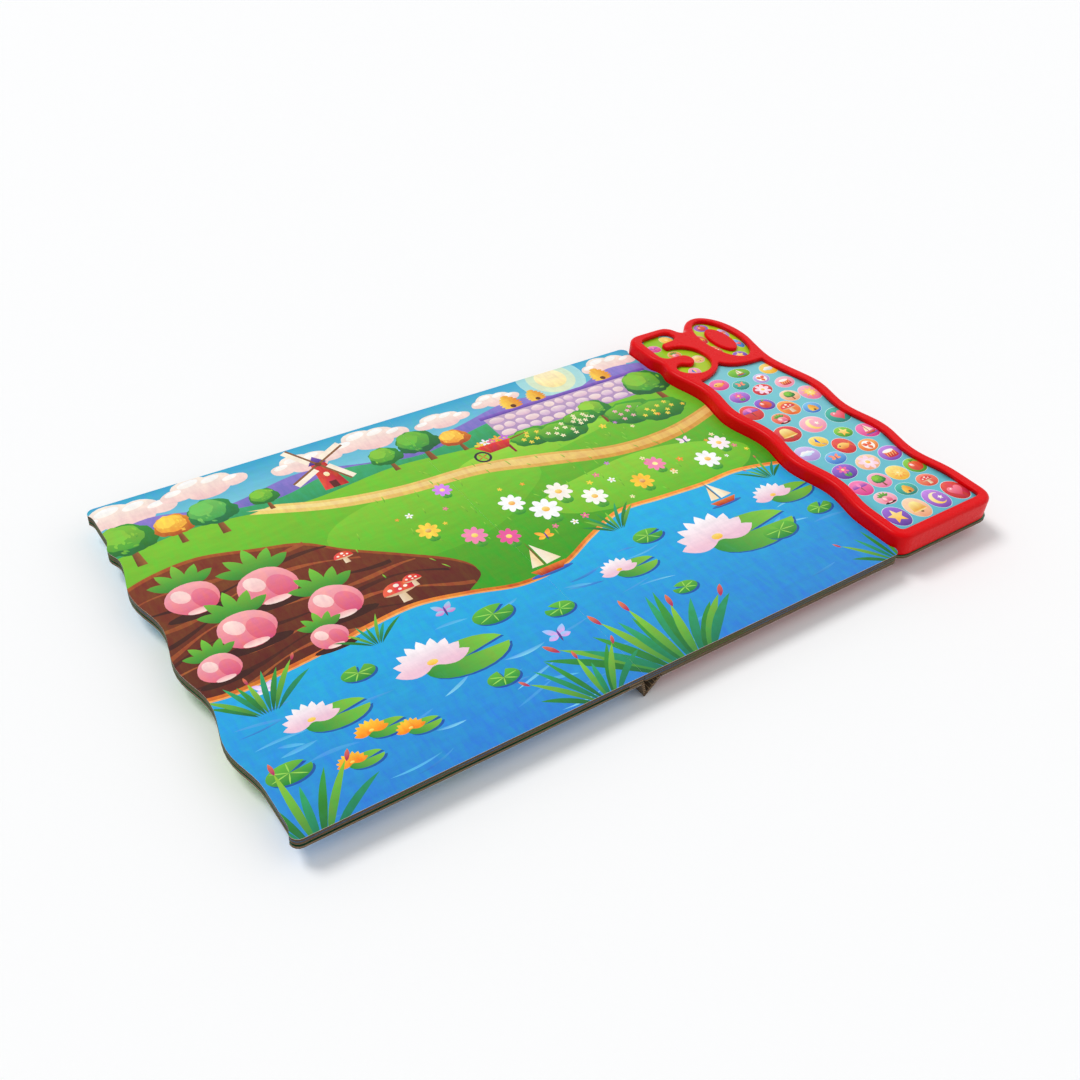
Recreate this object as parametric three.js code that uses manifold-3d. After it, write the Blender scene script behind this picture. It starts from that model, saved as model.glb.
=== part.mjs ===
// A children's sound book, lying open. Two halves of board leaves meet at the gutter. The back cover
// runs on to the right and carries a red sound module whose outline ends in the digits "50".
// Millimetres, +Z up. X runs right from the gutter, Y away from the reader, and z = 0 is the page
// surface while the model is built. At the end the book is set on its lowest point, centred.
import * as THREE from 'three';
import { mergeVertices } from 'three/addons/utils/BufferGeometryUtils.js';
import Module from 'manifold-3d';

const wasm = await Module();
wasm.setup();

// Driving dimensions of the pages and covers
const pageHeight = 254;
const pageWidth = 187.3;
const waveDepth = 2.5;
const waveCount = 3;
const waveStart = 31;
const waveTopMargin = 49;
const wavePitch = (pageHeight - waveStart - waveTopMargin) / waveCount;
const waistDepth = 2.8;
const waistLength = 20;
const pageCorner = 4.5;
const leafBoard = 1.7;
const rightLeaves = 3;
const leftLeaves = 2;
const leafSlot = 0.35;
const leafSlotDepth = 4;
const fanGap = 1.3;
const bindingWidth = 9;
const coverBoard = 1.6;
const seatGap = 0.3;
const foldGap = 0.4;
const gutterGap = 0.3;
const pageBevel = 1.2;
const stripCrease = 11.5;
const creaseGap = 0.3;

// Driving dimensions of the sound module
const moduleGap = 0.8;
const moduleFront = 0.8;
const moduleWidth = 81.3;
const moduleDrop = 0.6;
const moduleCorner = 9.5;
const moduleLeft = pageWidth - waveDepth + moduleGap;
const moduleRight = moduleLeft + moduleWidth;
const moduleTop = pageHeight - moduleDrop;
const waistX = moduleRight - 5.1;
const waistY = moduleTop - 67.4;
const rimRise = 8.7;
const topPlate = 2.8;
const rimWidth = 7.0;
const rimBevel = 2.2;
const wall = 1.8;
const coverRim = 0.9;
const digitStroke = 5.8;
const zeroCentre = [moduleRight - 19.7, moduleTop - 30.9];
const zeroRadii = [14.2, 26.2];
const zeroRimSide = 6.4;
const islandRadii = [7.6, 15];
const islandBevel = 0.9;
const islandDrop = 0.6;
const stemRadius = 2.2;
const barEnd = [moduleLeft + 28, moduleTop - 11.6];
const barStart = [moduleLeft + 12.6, moduleTop - 12.5];
const knee = [moduleLeft + 12, moduleTop - 29.6];
const bowlCentre = [moduleLeft + 20.4, moduleTop - 42];
const bowlRadii = [11, 11.9];
const bowlEndAngle = -137;
const fieldPeak = [moduleLeft + 38, moduleTop - 54.6];
const fieldShoulder = moduleTop - 68;

// Sheets under the module's top plate
const filmSheet = 0.4;
const buttonRise = 0.2;
const switchSheet = 0.3;
const spacerSheet = 0.4;
const supportPlate = 1.2;
const switchHole = 3.2;

// Module base, electronics, battery bay and fasteners
const basePlate = 1.5;
const footInset = 0.1;
const footX = [moduleLeft + 13.4, moduleLeft + 71.4];
const footY = [24, 126];
const footFloor = 2.3;
const footWall = 1.6;
const footCorner = 6;
const bossRadius = 1.9;
const bossInset = 3.5;
const pilotRadius = 0.85;
const screwShank = 0.7;
const screwHead = 1.3;
const screwHeadHeight = 0.7;
const screwReach = 6.5;
const counterbore = 1.0;
const cellRadius = 5.8;
const cellHeight = 5.2;
const cellPitch = 13.6;
const cellY = footY[0] + 14;
const cellX = footX[0] + 13;
const contactSheet = 0.3;
const doorBoard = 1.2;
const doorMargin = 3;
const doorLedge = 1.5;
const doorEar = 9;
const boardSize = [36, 20, 1];
const boardY = footY[0] + 39;
const boardPost = 1.3;
const chipRadius = 4.2;
const chipHeight = 1.3;
const speakerRadius = 18;
const speakerY = footY[0] + 76;
const speakerHeight = 4.6;
const magnetRadius = 8.5;
const magnetHeight = 1.9;
const grilleHole = 1.25;
const grilleRings = 3;
const grillePitch = 4.2;
const tailWidth = 14;
const fingerWidth = 3;

// Rows of touch buttons on the blue field: height, offsets from the middle line, half width, half length
const buttonMiddle = moduleLeft + 44.1;
const rowScale = (fieldShoulder - moduleFront) / 184.6;
const buttonRows = [
  [20, [8.7, 26], 8.0, 9.2],
  [35.8, [0, 18.6], 7.4, 5.9],
  [50, [8, 24], 7.6, 7.2],
  [67, [0, 20.3], 9.0, 7.0],
  [80, [14.5], 7.8, 5.8],
  [87, [0], 7.6, 8.2],
  [92, [27.2], 8.2, 7.4],
  [98.2, [11.2], 6.6, 5.4],
  [114, [0, 22.6], 10.0, 8.2],
  [128.8, [14], 6.9, 5.8],
  [136, [0], 7.8, 8.0],
  [143, [26.4], 8.0, 8.2],
  [146.6, [11.4], 7.2, 6.2],
  [160.8, [0, 20.4], 8.0, 6.0],
  [171.8, [9.2], 6.4, 5.2],
  [178.9, [22.4], 7.4, 6.2],
  [184, [0], 8.4, 5.4],
];
const buttonTilt = 14;

// Heights that follow from the thicknesses
const rightDepth = rightLeaves * leafBoard + seatGap + coverBoard;
const leftDepth = leftLeaves * leafBoard + fanGap + coverBoard;
const coverTop = -rightLeaves * leafBoard - seatGap;
const waveEnd = waveStart + waveCount * wavePitch;
const valley = pageWidth - waveDepth;
const cornerLow = moduleFront + moduleCorner;
const cornerHigh = moduleTop - moduleCorner;

// Mesh and solid helpers
const rad = THREE.MathUtils.degToRad;

function toSolid(geometry) {
  const bare = geometry.index ? geometry.toNonIndexed() : geometry.clone();
  bare.deleteAttribute('normal');
  bare.deleteAttribute('uv');
  const merged = mergeVertices(bare, 1e-4);
  return new wasm.Manifold(new wasm.Mesh({
    numProp: 3,
    vertProperties: new Float32Array(merged.attributes.position.array),
    triVerts: new Uint32Array(merged.index.array),
  }));
}

function toGeometry(solid) {
  const mesh = solid.getMesh();
  const geometry = new THREE.BufferGeometry();
  geometry.setAttribute('position', new THREE.BufferAttribute(new Float32Array(mesh.vertProperties), 3));
  geometry.setIndex(new THREE.BufferAttribute(new Uint32Array(mesh.triVerts), 1));
  geometry.computeVertexNormals();
  return geometry;
}

// A flat slab of an outline between two heights
function slab(points, low, high, holes = []) {
  const shape = new THREE.Shape(points);
  shape.holes = holes.map((hole) => new THREE.Path(hole));
  const geometry = new THREE.ExtrudeGeometry(shape, { depth: high - low, bevelEnabled: false });
  return toSolid(geometry.translate(0, 0, low));
}

// A slab whose top edge is bevelled inwards, or flared outwards for a cutter
function bevelledSlab(points, low, high, bevel, flare = false) {
  const side = flare ? 0 : -bevel;
  const geometry = new THREE.ExtrudeGeometry(new THREE.Shape(points), {
    depth: high - low + (flare ? bevel : 0),
    bevelThickness: bevel,
    bevelSize: bevel,
    bevelOffset: side,
    bevelSegments: 2,
  });
  const solid = toSolid(geometry.translate(0, 0, flare ? high : low - bevel));
  const reach = slab(offset(points, bevel + 1), low, flare ? high + 2 * bevel : high);
  return flare ? solid : solid.intersect(reach);
}

function box(x, y, z) {
  const geometry = new THREE.BoxGeometry(x[1] - x[0], y[1] - y[0], z[1] - z[0]);
  return toSolid(geometry.translate((x[0] + x[1]) / 2, (y[0] + y[1]) / 2, (z[0] + z[1]) / 2));
}

function disc(x, y, radius, low, high, sides = 20, topRadius = radius) {
  const geometry = new THREE.CylinderGeometry(topRadius, radius, high - low, sides);
  return toSolid(geometry.rotateX(Math.PI / 2).translate(x, y, (low + high) / 2));
}

function join(solids) {
  return solids.reduce((sum, solid) => sum.add(solid));
}

function cut(solid, tools) {
  return tools.reduce((rest, tool) => rest.subtract(tool), solid);
}

// The outline moved outwards by a distance, square to its own direction
function offset(points, distance) {
  const count = points.length;
  return points.map((point, i) => {
    const before = points[(i + count - 1) % count];
    const after = points[(i + 1) % count];
    const a = new THREE.Vector2(point.y - before.y, before.x - point.x).normalize();
    const b = new THREE.Vector2(after.y - point.y, point.x - after.x).normalize();
    const mean = a.clone().add(b);
    const scale = Math.min(distance * 2 / Math.max(mean.lengthSq(), 1), distance * 2);
    return point.clone().addScaledVector(mean, distance < 0 ? distance * 2 / Math.max(mean.lengthSq(), 1) : scale);
  });
}

function arc(x, y, rx, ry, from, to, steps) {
  const points = [];
  for (let i = 0; i <= steps; i += 1) {
    const angle = rad(from + (to - from) * i / steps);
    points.push(new THREE.Vector2(x + rx * Math.cos(angle), y + ry * Math.sin(angle)));
  }
  return points;
}

function ellipse(x, y, rx, ry, sides, tilt = 0) {
  const centre = new THREE.Vector2(x, y);
  const ring = arc(x, y, rx, ry, 0, 360 - 360 / sides, sides - 1);
  return ring.map((point) => point.rotateAround(centre, rad(tilt)));
}

// Outlines shared by pages, covers and module
function wave(y) {
  const inside = y > waveStart && y < waveEnd;
  return inside ? -waveDepth * Math.cos(2 * Math.PI * (y - waveStart) / wavePitch) : -waveDepth;
}

// Distance from the gutter to the leaves' fore-edge at a height along the page
function foreEdge(y) {
  const reach = moduleCorner + moduleGap;
  const past = y < cornerLow ? cornerLow - y : Math.max(y - cornerHigh, 0);
  const round = reach - Math.sqrt(Math.max(reach ** 2 - past ** 2, 0));
  const nearWaist = Math.abs(y - waveEnd - waistLength / 2) < waistLength / 2;
  const waist = nearWaist ? waistDepth * (1 - Math.cos(2 * Math.PI * (y - waveEnd) / waistLength)) / 2 : 0;
  return pageWidth + wave(y) + waist + Math.min(round, moduleCorner / 2);
}

// Heights at which the long edges are drawn, and those that follow the module's rounded corners
const sideHeights = [];
for (let i = -1; i <= 12 * waveCount; i += 1) sideHeights.push(waveStart + i * wavePitch / 12);
for (let i = 1; i <= 8; i += 1) sideHeights.push(waveEnd + i * waistLength / 8);
const cornerHeights = [0.5, 0.67, 0.84, 1].map((part) => part * cornerLow);

// One page, from the gutter to the wavy fore-edge, with rounded outer corners
function pageOutline(gutter) {
  const low = foreEdge(pageCorner);
  const high = foreEdge(pageHeight - pageCorner);
  const upperHeights = cornerHeights.map((y) => pageHeight - y).reverse();
  const side = [...cornerHeights, ...sideHeights, ...upperHeights];
  return [
    new THREE.Vector2(gutter, 0),
    ...arc(low - pageCorner, pageCorner, pageCorner, pageCorner, -90, 0, 4),
    ...side.map((y) => new THREE.Vector2(foreEdge(y), y)),
    ...arc(high - pageCorner, pageHeight - pageCorner, pageCorner, pageCorner, 0, 90, 4),
    new THREE.Vector2(gutter, pageHeight),
  ];
}

// The module's outline: wavy sides, and an upper end that follows a 5 and a 0
function moduleOutline() {
  const left = sideHeights.map((y) => new THREE.Vector2(foreEdge(y) + moduleGap, y)).reverse();
  const rimX = zeroRadii[0] + zeroRimSide;
  const rimY = moduleTop + 0.8 - zeroCentre[1];
  const [zx, zy] = zeroCentre;
  const fiveCorner = [barEnd[0] + 2.6, cornerHigh];
  const zeroArc = arc(zx, zy, rimX, rimY, -26, 140, 20);
  const notchStart = zeroArc[zeroArc.length - 1];
  const notchEnd = new THREE.Vector2(fiveCorner[0] + moduleCorner, fiveCorner[1]);
  const notch = new THREE.QuadraticBezierCurve(
    notchStart,
    new THREE.Vector2((notchStart.x + notchEnd.x) / 2, cornerHigh - 4.5),
    notchEnd,
  ).getPoints(4).slice(1, -1);
  const waist = new THREE.SplineCurve([
    new THREE.Vector2(moduleRight - wave(waveEnd - wavePitch * 0.9), waveEnd - wavePitch * 0.9),
    new THREE.Vector2(moduleRight - wave(waveEnd - wavePitch * 0.75), waveEnd - wavePitch * 0.75),
    new THREE.Vector2(waistX, waistY),
    zeroArc[0],
    zeroArc[1],
  ]).getPoints(16).slice(4, 12);
  const right = sideHeights.filter((y) => y < waveEnd - wavePitch * 0.76)
    .map((y) => new THREE.Vector2(moduleRight - wave(y), y));
  const [rightEdge, topEdge] = [moduleRight + waveDepth, moduleTop];
  return [
    ...arc(rightEdge - moduleCorner, cornerLow, moduleCorner, moduleCorner, -90, 0, 5),
    ...right,
    ...waist,
    ...zeroArc,
    ...notch,
    ...arc(...fiveCorner, moduleCorner, topEdge - cornerHigh, 0, 90, 5),
    ...arc(moduleLeft + moduleCorner, cornerHigh, moduleCorner, moduleCorner, 90, 180, 5),
    ...left,
    ...arc(moduleLeft + moduleCorner, cornerLow, moduleCorner, moduleCorner, 180, 270, 5),
  ];
}

const rimOutline = moduleOutline();
const innerOutline = offset(rimOutline, -(wall + seatGap));

// The wide stroke of the 5: a bar, a stem and a bowl that is open on the left
function fiveWindow(low, high, grow = 0) {
  const r = digitStroke + grow;
  const limb = ([ax, ay], [bx, by]) => {
    const angle = THREE.MathUtils.radToDeg(Math.atan2(by - ay, bx - ax));
    return [...arc(bx, by, r, r, angle - 90, angle + 90, 8), ...arc(ax, ay, r, r, angle + 90, angle + 270, 8)];
  };
  const [cx, cy] = bowlCentre;
  const [rx, ry] = bowlRadii;
  const tip = arc(cx, cy, rx, ry, bowlEndAngle, bowlEndAngle, 1)[0];
  const bowl = [
    ...arc(cx, cy, rx + r, ry + r, bowlEndAngle, 90, 18),
    ...arc(cx, cy, rx - r, ry - r, 90, bowlEndAngle, 14),
  ];
  const pieces = [limb(barStart, barEnd), limb(knee, barStart), limb(knee, [cx, cy + ry]), bowl];
  return join([...pieces.map((piece) => slab(piece, low, high)), disc(tip.x, tip.y, r, low, high, 16)]);
}

function zeroWindow(low, high, grow = 0) {
  const [x, y] = zeroCentre;
  return slab(ellipse(x, y, zeroRadii[0] + grow, zeroRadii[1] + grow, 32), low, high);
}

// The blue field's window: the rim's inner line below a scalloped upper edge
function fieldOutline(inset) {
  const [px, py] = fieldPeak;
  const shoulder = fieldShoulder;
  const left = new THREE.QuadraticBezierCurve(
    new THREE.Vector2(moduleLeft, shoulder - inset),
    new THREE.Vector2(px - 9, shoulder - inset),
    new THREE.Vector2(px, py - inset),
  );
  const right = new THREE.QuadraticBezierCurve(
    new THREE.Vector2(px, py - inset),
    new THREE.Vector2(px + 7, py - 12.5 - inset),
    new THREE.Vector2(waistX, shoulder + 3.6 - inset),
  );
  return [...left.getPoints(7), ...right.getPoints(7).slice(1)];
}

function fieldWindow(low, high) {
  const inner = offset(rimOutline, -rimWidth);
  const roof = fieldOutline(0);
  const below = [
    new THREE.Vector2(moduleLeft - rimWidth, -rimWidth),
    new THREE.Vector2(moduleRight + rimWidth, -rimWidth),
    new THREE.Vector2(moduleRight + rimWidth, roof[roof.length - 1].y),
    ...roof.slice().reverse(),
    new THREE.Vector2(moduleLeft - rimWidth, roof[0].y),
  ];
  return slab(inner, low, high).intersect(slab(below, low, high));
}

// Every touch button, as a centre, two half axes and a tilt
function buttons() {
  const list = [];
  for (const [y, spread, halfX, halfY] of buttonRows) {
    for (const side of spread.flatMap((gap) => (gap ? [-gap, gap] : [0]))) {
      const tilt = buttonTilt * (side < 0 ? -1 : 1) * (list.length % 2 ? 1 : -0.5);
      list.push({ x: buttonMiddle + side, y: y * rowScale, halfX, halfY, tilt });
    }
  }
  const [cx, cy] = bowlCentre;
  const onFive = [
    barEnd,
    [barStart[0], (barStart[1] + knee[1]) / 2 + 3.5],
    [cx, cy + bowlRadii[1]],
    [cx + bowlRadii[0], cy],
    [cx - 2, cy - bowlRadii[1] + 0.4],
  ];
  onFive.forEach(([x, y], i) => list.push({ x, y, halfX: 5, halfY: 4.3, tilt: 20 * (i - 2) }));
  const ringX = (zeroRadii[0] + islandRadii[0]) / 2;
  const ringY = (zeroRadii[1] + islandRadii[1]) / 2;
  for (const angle of [90, 157, 203, 270, 337, 23]) {
    const [centre] = arc(...zeroCentre, ringX, ringY, angle, angle, 1);
    const upright = angle % 180 === 90;
    list.push({ x: centre.x, y: centre.y, halfX: upright ? 5.6 : 3.1, halfY: upright ? 4.6 : 5.6, tilt: 0 });
  }
  return list;
}

// Places of the case screws, each on a boss inside the rim or on the web between the windows
function screwPlaces() {
  const leftSide = (y) => [foreEdge(y) + moduleGap + bossInset, y];
  const rightSide = (y) => [moduleRight - wave(y) - bossInset, y];
  const slant = (moduleCorner - bossInset) * Math.SQRT1_2;
  const [zx, zy] = zeroCentre;
  const [crest] = arc(zx, zy, zeroRadii[0] + zeroRimSide - bossInset, moduleTop + 0.8 - zy - bossInset, 48, 48, 1);
  return [
    leftSide(waveStart),
    rightSide(waveStart),
    leftSide(waveStart + 2 * wavePitch),
    rightSide(waveStart + 2 * wavePitch),
    [moduleLeft + moduleCorner - slant, cornerHigh + slant],
    [crest.x, crest.y],
    [fieldPeak[0] + 3, fieldPeak[1] + 6.2],
  ];
}

// Heights of the stack inside the module, from the top down
const plateUnder = rimRise - topPlate;
const filmTop = plateUnder - seatGap;
const upperTop = filmTop - filmSheet - seatGap;
const spacerTop = upperTop - switchSheet - seatGap;
const lowerTop = spacerTop - spacerSheet - seatGap;
const supportTop = lowerTop - switchSheet - seatGap;
const supportUnder = supportTop - supportPlate;
const caseFoot = coverTop + seatGap;
const baseTop = caseFoot + basePlate;
const footUnder = -rightDepth + footInset;
const floorTop = footUnder + footFloor;

const book = new THREE.Group();
const backHalf = new THREE.Group();
const frontHalf = new THREE.Group();
book.add(backHalf, frontHalf);

function add(group, name, solid, color, roughness, metalness = 0) {
  const material = new THREE.MeshStandardMaterial({ color, roughness, metalness });
  const mesh = new THREE.Mesh(toGeometry(solid), material);
  mesh.name = name;
  group.add(mesh);
}

// Leaves: one block a side, with the fine slots that part the boards along three edges
function leafBlock(leaves) {
  const outline = pageOutline(gutterGap / 2);
  const block = slab(outline, -leaves * leafBoard, 0);
  const slotInner = [
    new THREE.Vector2(-leafSlotDepth, leafSlotDepth),
    new THREE.Vector2(valley - 2 * leafSlotDepth, leafSlotDepth),
    ...sideHeights.map((y) => new THREE.Vector2(foreEdge(y) - leafSlotDepth, y)),
    new THREE.Vector2(valley - 2 * leafSlotDepth, pageHeight - leafSlotDepth),
    new THREE.Vector2(-leafSlotDepth, pageHeight - leafSlotDepth),
  ];
  const slots = [];
  for (let i = 1; i < leaves; i += 1) {
    const middle = -i * leafBoard;
    slots.push(box([-1, pageWidth + 5], [-1, pageHeight + 1], [middle - leafSlot / 2, middle + leafSlot / 2])
      .subtract(slab(slotInner, middle - leafSlot, middle + leafSlot)));
  }
  return cut(block, slots);
}

// The right block's lower edge at the spine is bevelled where the spine panel swings past
const spineBevel = slab([
  new THREE.Vector2(0, -rightLeaves * leafBoard - 1),
  new THREE.Vector2(gutterGap / 2 + pageBevel + 1, -rightLeaves * leafBoard - 1),
  new THREE.Vector2(0, -rightLeaves * leafBoard + gutterGap / 2 + pageBevel),
], 0, pageHeight + 2).rotate([90, 0, 0]).translate([0, pageHeight + 1, 0]);
add(backHalf, 'right_pages', leafBlock(rightLeaves).subtract(spineBevel), 0x3aa6d8, 0.55);

const bindingTop = -leftLeaves * leafBoard + leafBoard / 2;
const binding = box([gutterGap / 2, bindingWidth], [0, pageHeight], [-leftDepth + coverBoard + seatGap, bindingTop]);
const leftBlock = leafBlock(leftLeaves).add(binding).mirror([1, 0, 0]);
add(frontHalf, 'left_pages', leftBlock, 0x58b02c, 0.55);

// Covers. The spine pivots: A where the hinge strip is creased, B where the spine panel meets the
// front cover, C where the two meet. Closed, the strip lies flat and the panel stands upright, and
// that gives the two lengths. Open, C hangs where the two lengths meet below the gutter.
const panelX = -(coverBoard + seatGap);
const pivotA = new THREE.Vector2(stripCrease, -rightDepth);
const pivotB = new THREE.Vector2(seatGap, -leftDepth + coverBoard);
const closedB = new THREE.Vector2(-pivotB.x, foldGap - pivotB.y);
const closedC = new THREE.Vector2(panelX, -rightDepth);
const stripLength = pivotA.distanceTo(closedC);
const panelLength = closedB.distanceTo(closedC);

function meetBelow(a, b, fromA, fromB) {
  const span = b.clone().sub(a);
  const gap = span.length();
  const along = (fromA ** 2 - fromB ** 2 + gap ** 2) / (2 * gap);
  const down = Math.sqrt(fromA ** 2 - along ** 2);
  const unit = span.divideScalar(gap);
  return a.clone().addScaledVector(unit, along).add(new THREE.Vector2(-unit.y, unit.x).multiplyScalar(down));
}

const pivotC = meetBelow(pivotA, pivotB, stripLength, panelLength);

// A board whose section runs along the page height
function boardAlongPage(section) {
  const geometry = new THREE.ExtrudeGeometry(new THREE.Shape(section), { depth: pageHeight, bevelEnabled: false });
  return toSolid(geometry.rotateX(Math.PI / 2).translate(0, pageHeight, 0));
}

// The strip: its outer face runs from A to C, square at A, mitred at C
const stripWay = pivotC.clone().sub(pivotA).normalize();
const panelWay = pivotB.clone().sub(pivotC).normalize();
const stripIn = new THREE.Vector2(stripWay.y, -stripWay.x);
const tipAngle = Math.acos(-stripWay.dot(panelWay));
const tipSetback = coverBoard / Math.tan(tipAngle / 2);
const stripSection = [
  pivotA.clone().addScaledVector(stripWay, creaseGap / 2),
  pivotC.clone().addScaledVector(stripWay, -creaseGap),
  pivotC.clone().addScaledVector(stripWay, -creaseGap - tipSetback).addScaledVector(stripIn, coverBoard),
  pivotA.clone().addScaledVector(stripWay, creaseGap / 2).addScaledVector(stripIn, coverBoard),
];

// The panel: C is on its outer face and B on its inner face, so it leans in by its own thickness
const lean = Math.asin(coverBoard / panelLength);
const panelRun = panelWay.clone().rotateAround(new THREE.Vector2(), lean);
const panelIn = new THREE.Vector2(panelRun.y, -panelRun.x);
const panelRise = panelLength * Math.cos(lean);
const panelMitre = coverBoard * Math.tan(rad(32));
const panelSection = [
  pivotC.clone().addScaledVector(panelRun, creaseGap),
  pivotC.clone().addScaledVector(panelRun, panelRise - creaseGap - panelMitre),
  pivotC.clone().addScaledVector(panelRun, panelRise - creaseGap).addScaledVector(panelIn, coverBoard),
  pivotC.clone().addScaledVector(panelRun, creaseGap + tipSetback).addScaledVector(panelIn, coverBoard),
];

add(backHalf, 'hinge_strip', boardAlongPage(stripSection), 0x6b5a4a, 0.6);
add(frontHalf, 'spine_panel', boardAlongPage(panelSection), 0x6b5a4a, 0.6);

// Front cover: the left page's outline, chamfered along the spine to clear the panel
const frontOuter = pageOutline(seatGap / 2);
const frontBevel = [
  new THREE.Vector2(0, -leftDepth - 1),
  new THREE.Vector2(panelMitre + 1, -leftDepth - 1),
  new THREE.Vector2(0, -leftDepth + coverBoard + 0.01),
];
frontBevel[1].x = frontBevel[0].x + Math.tan(rad(32)) * (coverBoard + 1);
const frontCover = slab(frontOuter, -leftDepth, -leftDepth + coverBoard).subtract(boardAlongPage(frontBevel));
add(frontHalf, 'front_cover', frontCover.mirror([1, 0, 0]), 0x17506b, 0.45);

// Back cover: the right page's outline joined to the module's, with a window for the module's foot
const footOutline = roundedBox(footX, footY, footCorner);
const coverPage = pageOutline(stripCrease + creaseGap / 2);
const backCover = slab(coverPage, -rightDepth, coverTop)
  .add(slab(offset(rimOutline, coverRim), -rightDepth, coverTop))
  .add(box([stripCrease + 50, moduleLeft + moduleCorner], [pageCorner, pageHeight - pageCorner], [-rightDepth, coverTop]))
  .subtract(slab(offset(footOutline, seatGap), -rightDepth - 1, coverTop + 1));
add(backHalf, 'back_cover', backCover, 0x17506b, 0.45);

function roundedBox(x, y, r) {
  return [
    ...arc(x[1] - r, y[0] + r, r, r, -90, 0, 4),
    ...arc(x[1] - r, y[1] - r, r, r, 0, 90, 4),
    ...arc(x[0] + r, y[1] - r, r, r, 90, 180, 4),
    ...arc(x[0] + r, y[0] + r, r, r, 180, 270, 4),
  ];
}

// Module frame: a moulded shell open below, with bosses for the case screws
const places = screwPlaces();
const windowLow = plateUnder - 1;
const frameShell = bevelledSlab(rimOutline, caseFoot, rimRise, rimBevel);
const frameHollow = slab(offset(rimOutline, -wall), caseFoot - 1, plateUnder);
const frameBosses = places.map(([x, y]) => disc(x, y, bossRadius, baseTop + seatGap, plateUnder + 0.5, 14));
const framePilots = places.map(([x, y]) => disc(x, y, pilotRadius, baseTop - 1, caseFoot + screwReach + 0.5, 8));
const frameWindows = [
  fiveWindow(windowLow, rimRise + 1),
  zeroWindow(windowLow, rimRise + 1),
  fieldWindow(windowLow, rimRise + 1),
];
const frame = cut(join([cut(frameShell, [frameHollow]), ...frameBosses]), [...framePilots, ...frameWindows]);
add(backHalf, 'module_frame', frame, 0xd9141c, 0.32);

// Island of the 0, with a stem that is staked into the support plate
const islandLow = filmTop + seatGap;
const island = bevelledSlab(ellipse(...zeroCentre, ...islandRadii, 28), islandLow, rimRise - islandDrop, islandBevel)
  .add(disc(...zeroCentre, stemRadius, supportUnder, filmTop + 1, 14));
add(backHalf, 'zero_island', island, 0xd9141c, 0.32);

// Sheets under the top plate, each cut clear of the bosses and of the island's stem
function sheet(low, high, extra = []) {
  const holes = places.map(([x, y]) => disc(x, y, bossRadius + seatGap, low - 1, high + 1, 12));
  const stem = disc(...zeroCentre, stemRadius + seatGap, low - 1, high + 1, 14);
  return cut(slab(innerOutline, low, high), [...holes, stem, ...extra]);
}

const buttonList = buttons();
const seen = slab(offset(rimOutline, -rimWidth / 2), filmTop - filmSheet, filmTop + 1);
const raised = buttonList.map(({ x, y, halfX, halfY, tilt }) => (
  slab(ellipse(x, y, halfX, halfY, 16, tilt), filmTop - filmSheet / 2, filmTop + buttonRise).intersect(seen)
));
add(backHalf, 'button_film', join([sheet(filmTop - filmSheet, filmTop), ...raised]), 0x7cc6cf, 0.4);
add(backHalf, 'switch_sheet_upper', sheet(upperTop - switchSheet, upperTop), 0xcfd3c8, 0.5);

const contactHoles = buttonList.map(({ x, y }) => disc(x, y, switchHole, spacerTop - 2, spacerTop + 1, 8));
add(backHalf, 'switch_spacer', sheet(spacerTop - spacerSheet, spacerTop, contactHoles), 0xf2f2ee, 0.6);

// Lower switch sheet, with the tail that drops through the support plate to the circuit board
const boardX = (footX[0] + footX[1]) / 2;
const boardTop = floorTop + seatGap + boardPost + boardSize[2];
const tailY = boardY + boardSize[1] / 2 - 3;
const tailFoot = boardTop + seatGap;
const tailX = [boardX - tailWidth / 2, boardX + tailWidth / 2];
const tail = [
  box(tailX, [tailY, tailY + switchSheet], [tailFoot, lowerTop]),
  box(tailX, [tailY - 3, tailY + switchSheet], [tailFoot, tailFoot + switchSheet]),
];
add(backHalf, 'switch_sheet_lower', join([sheet(lowerTop - switchSheet, lowerTop), ...tail]), 0xcfd3c8, 0.5);

const tailSlot = box(
  [tailX[0] - seatGap, tailX[1] + seatGap],
  [tailY - seatGap, tailY + switchSheet + seatGap],
  [supportUnder - 1, supportTop + 1],
);
add(backHalf, 'support_plate', sheet(supportUnder, supportTop, [tailSlot]), 0x2b2d30, 0.5);

// Module base: a flange inside the frame, and a foot that fills the back cover's window
const cells = [0, 1, 2].map((i) => [cellX + i * cellPitch, cellY]);
const bayX = [cells[0][0] - cellRadius - 1, cells[2][0] + cellRadius + 1];
const bayY = [cellY - cellRadius - 1, cellY + cellRadius + 1];
const doorX = [bayX[0] - doorMargin, bayX[1] + doorEar];
const doorY = [bayY[0] - doorMargin, bayY[1] + doorMargin];
const doorTop = footUnder + doorBoard;
const doorScrew = [doorX[1] - doorEar / 2 - 0.3, cellY];
const speakerX = boardX;

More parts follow.
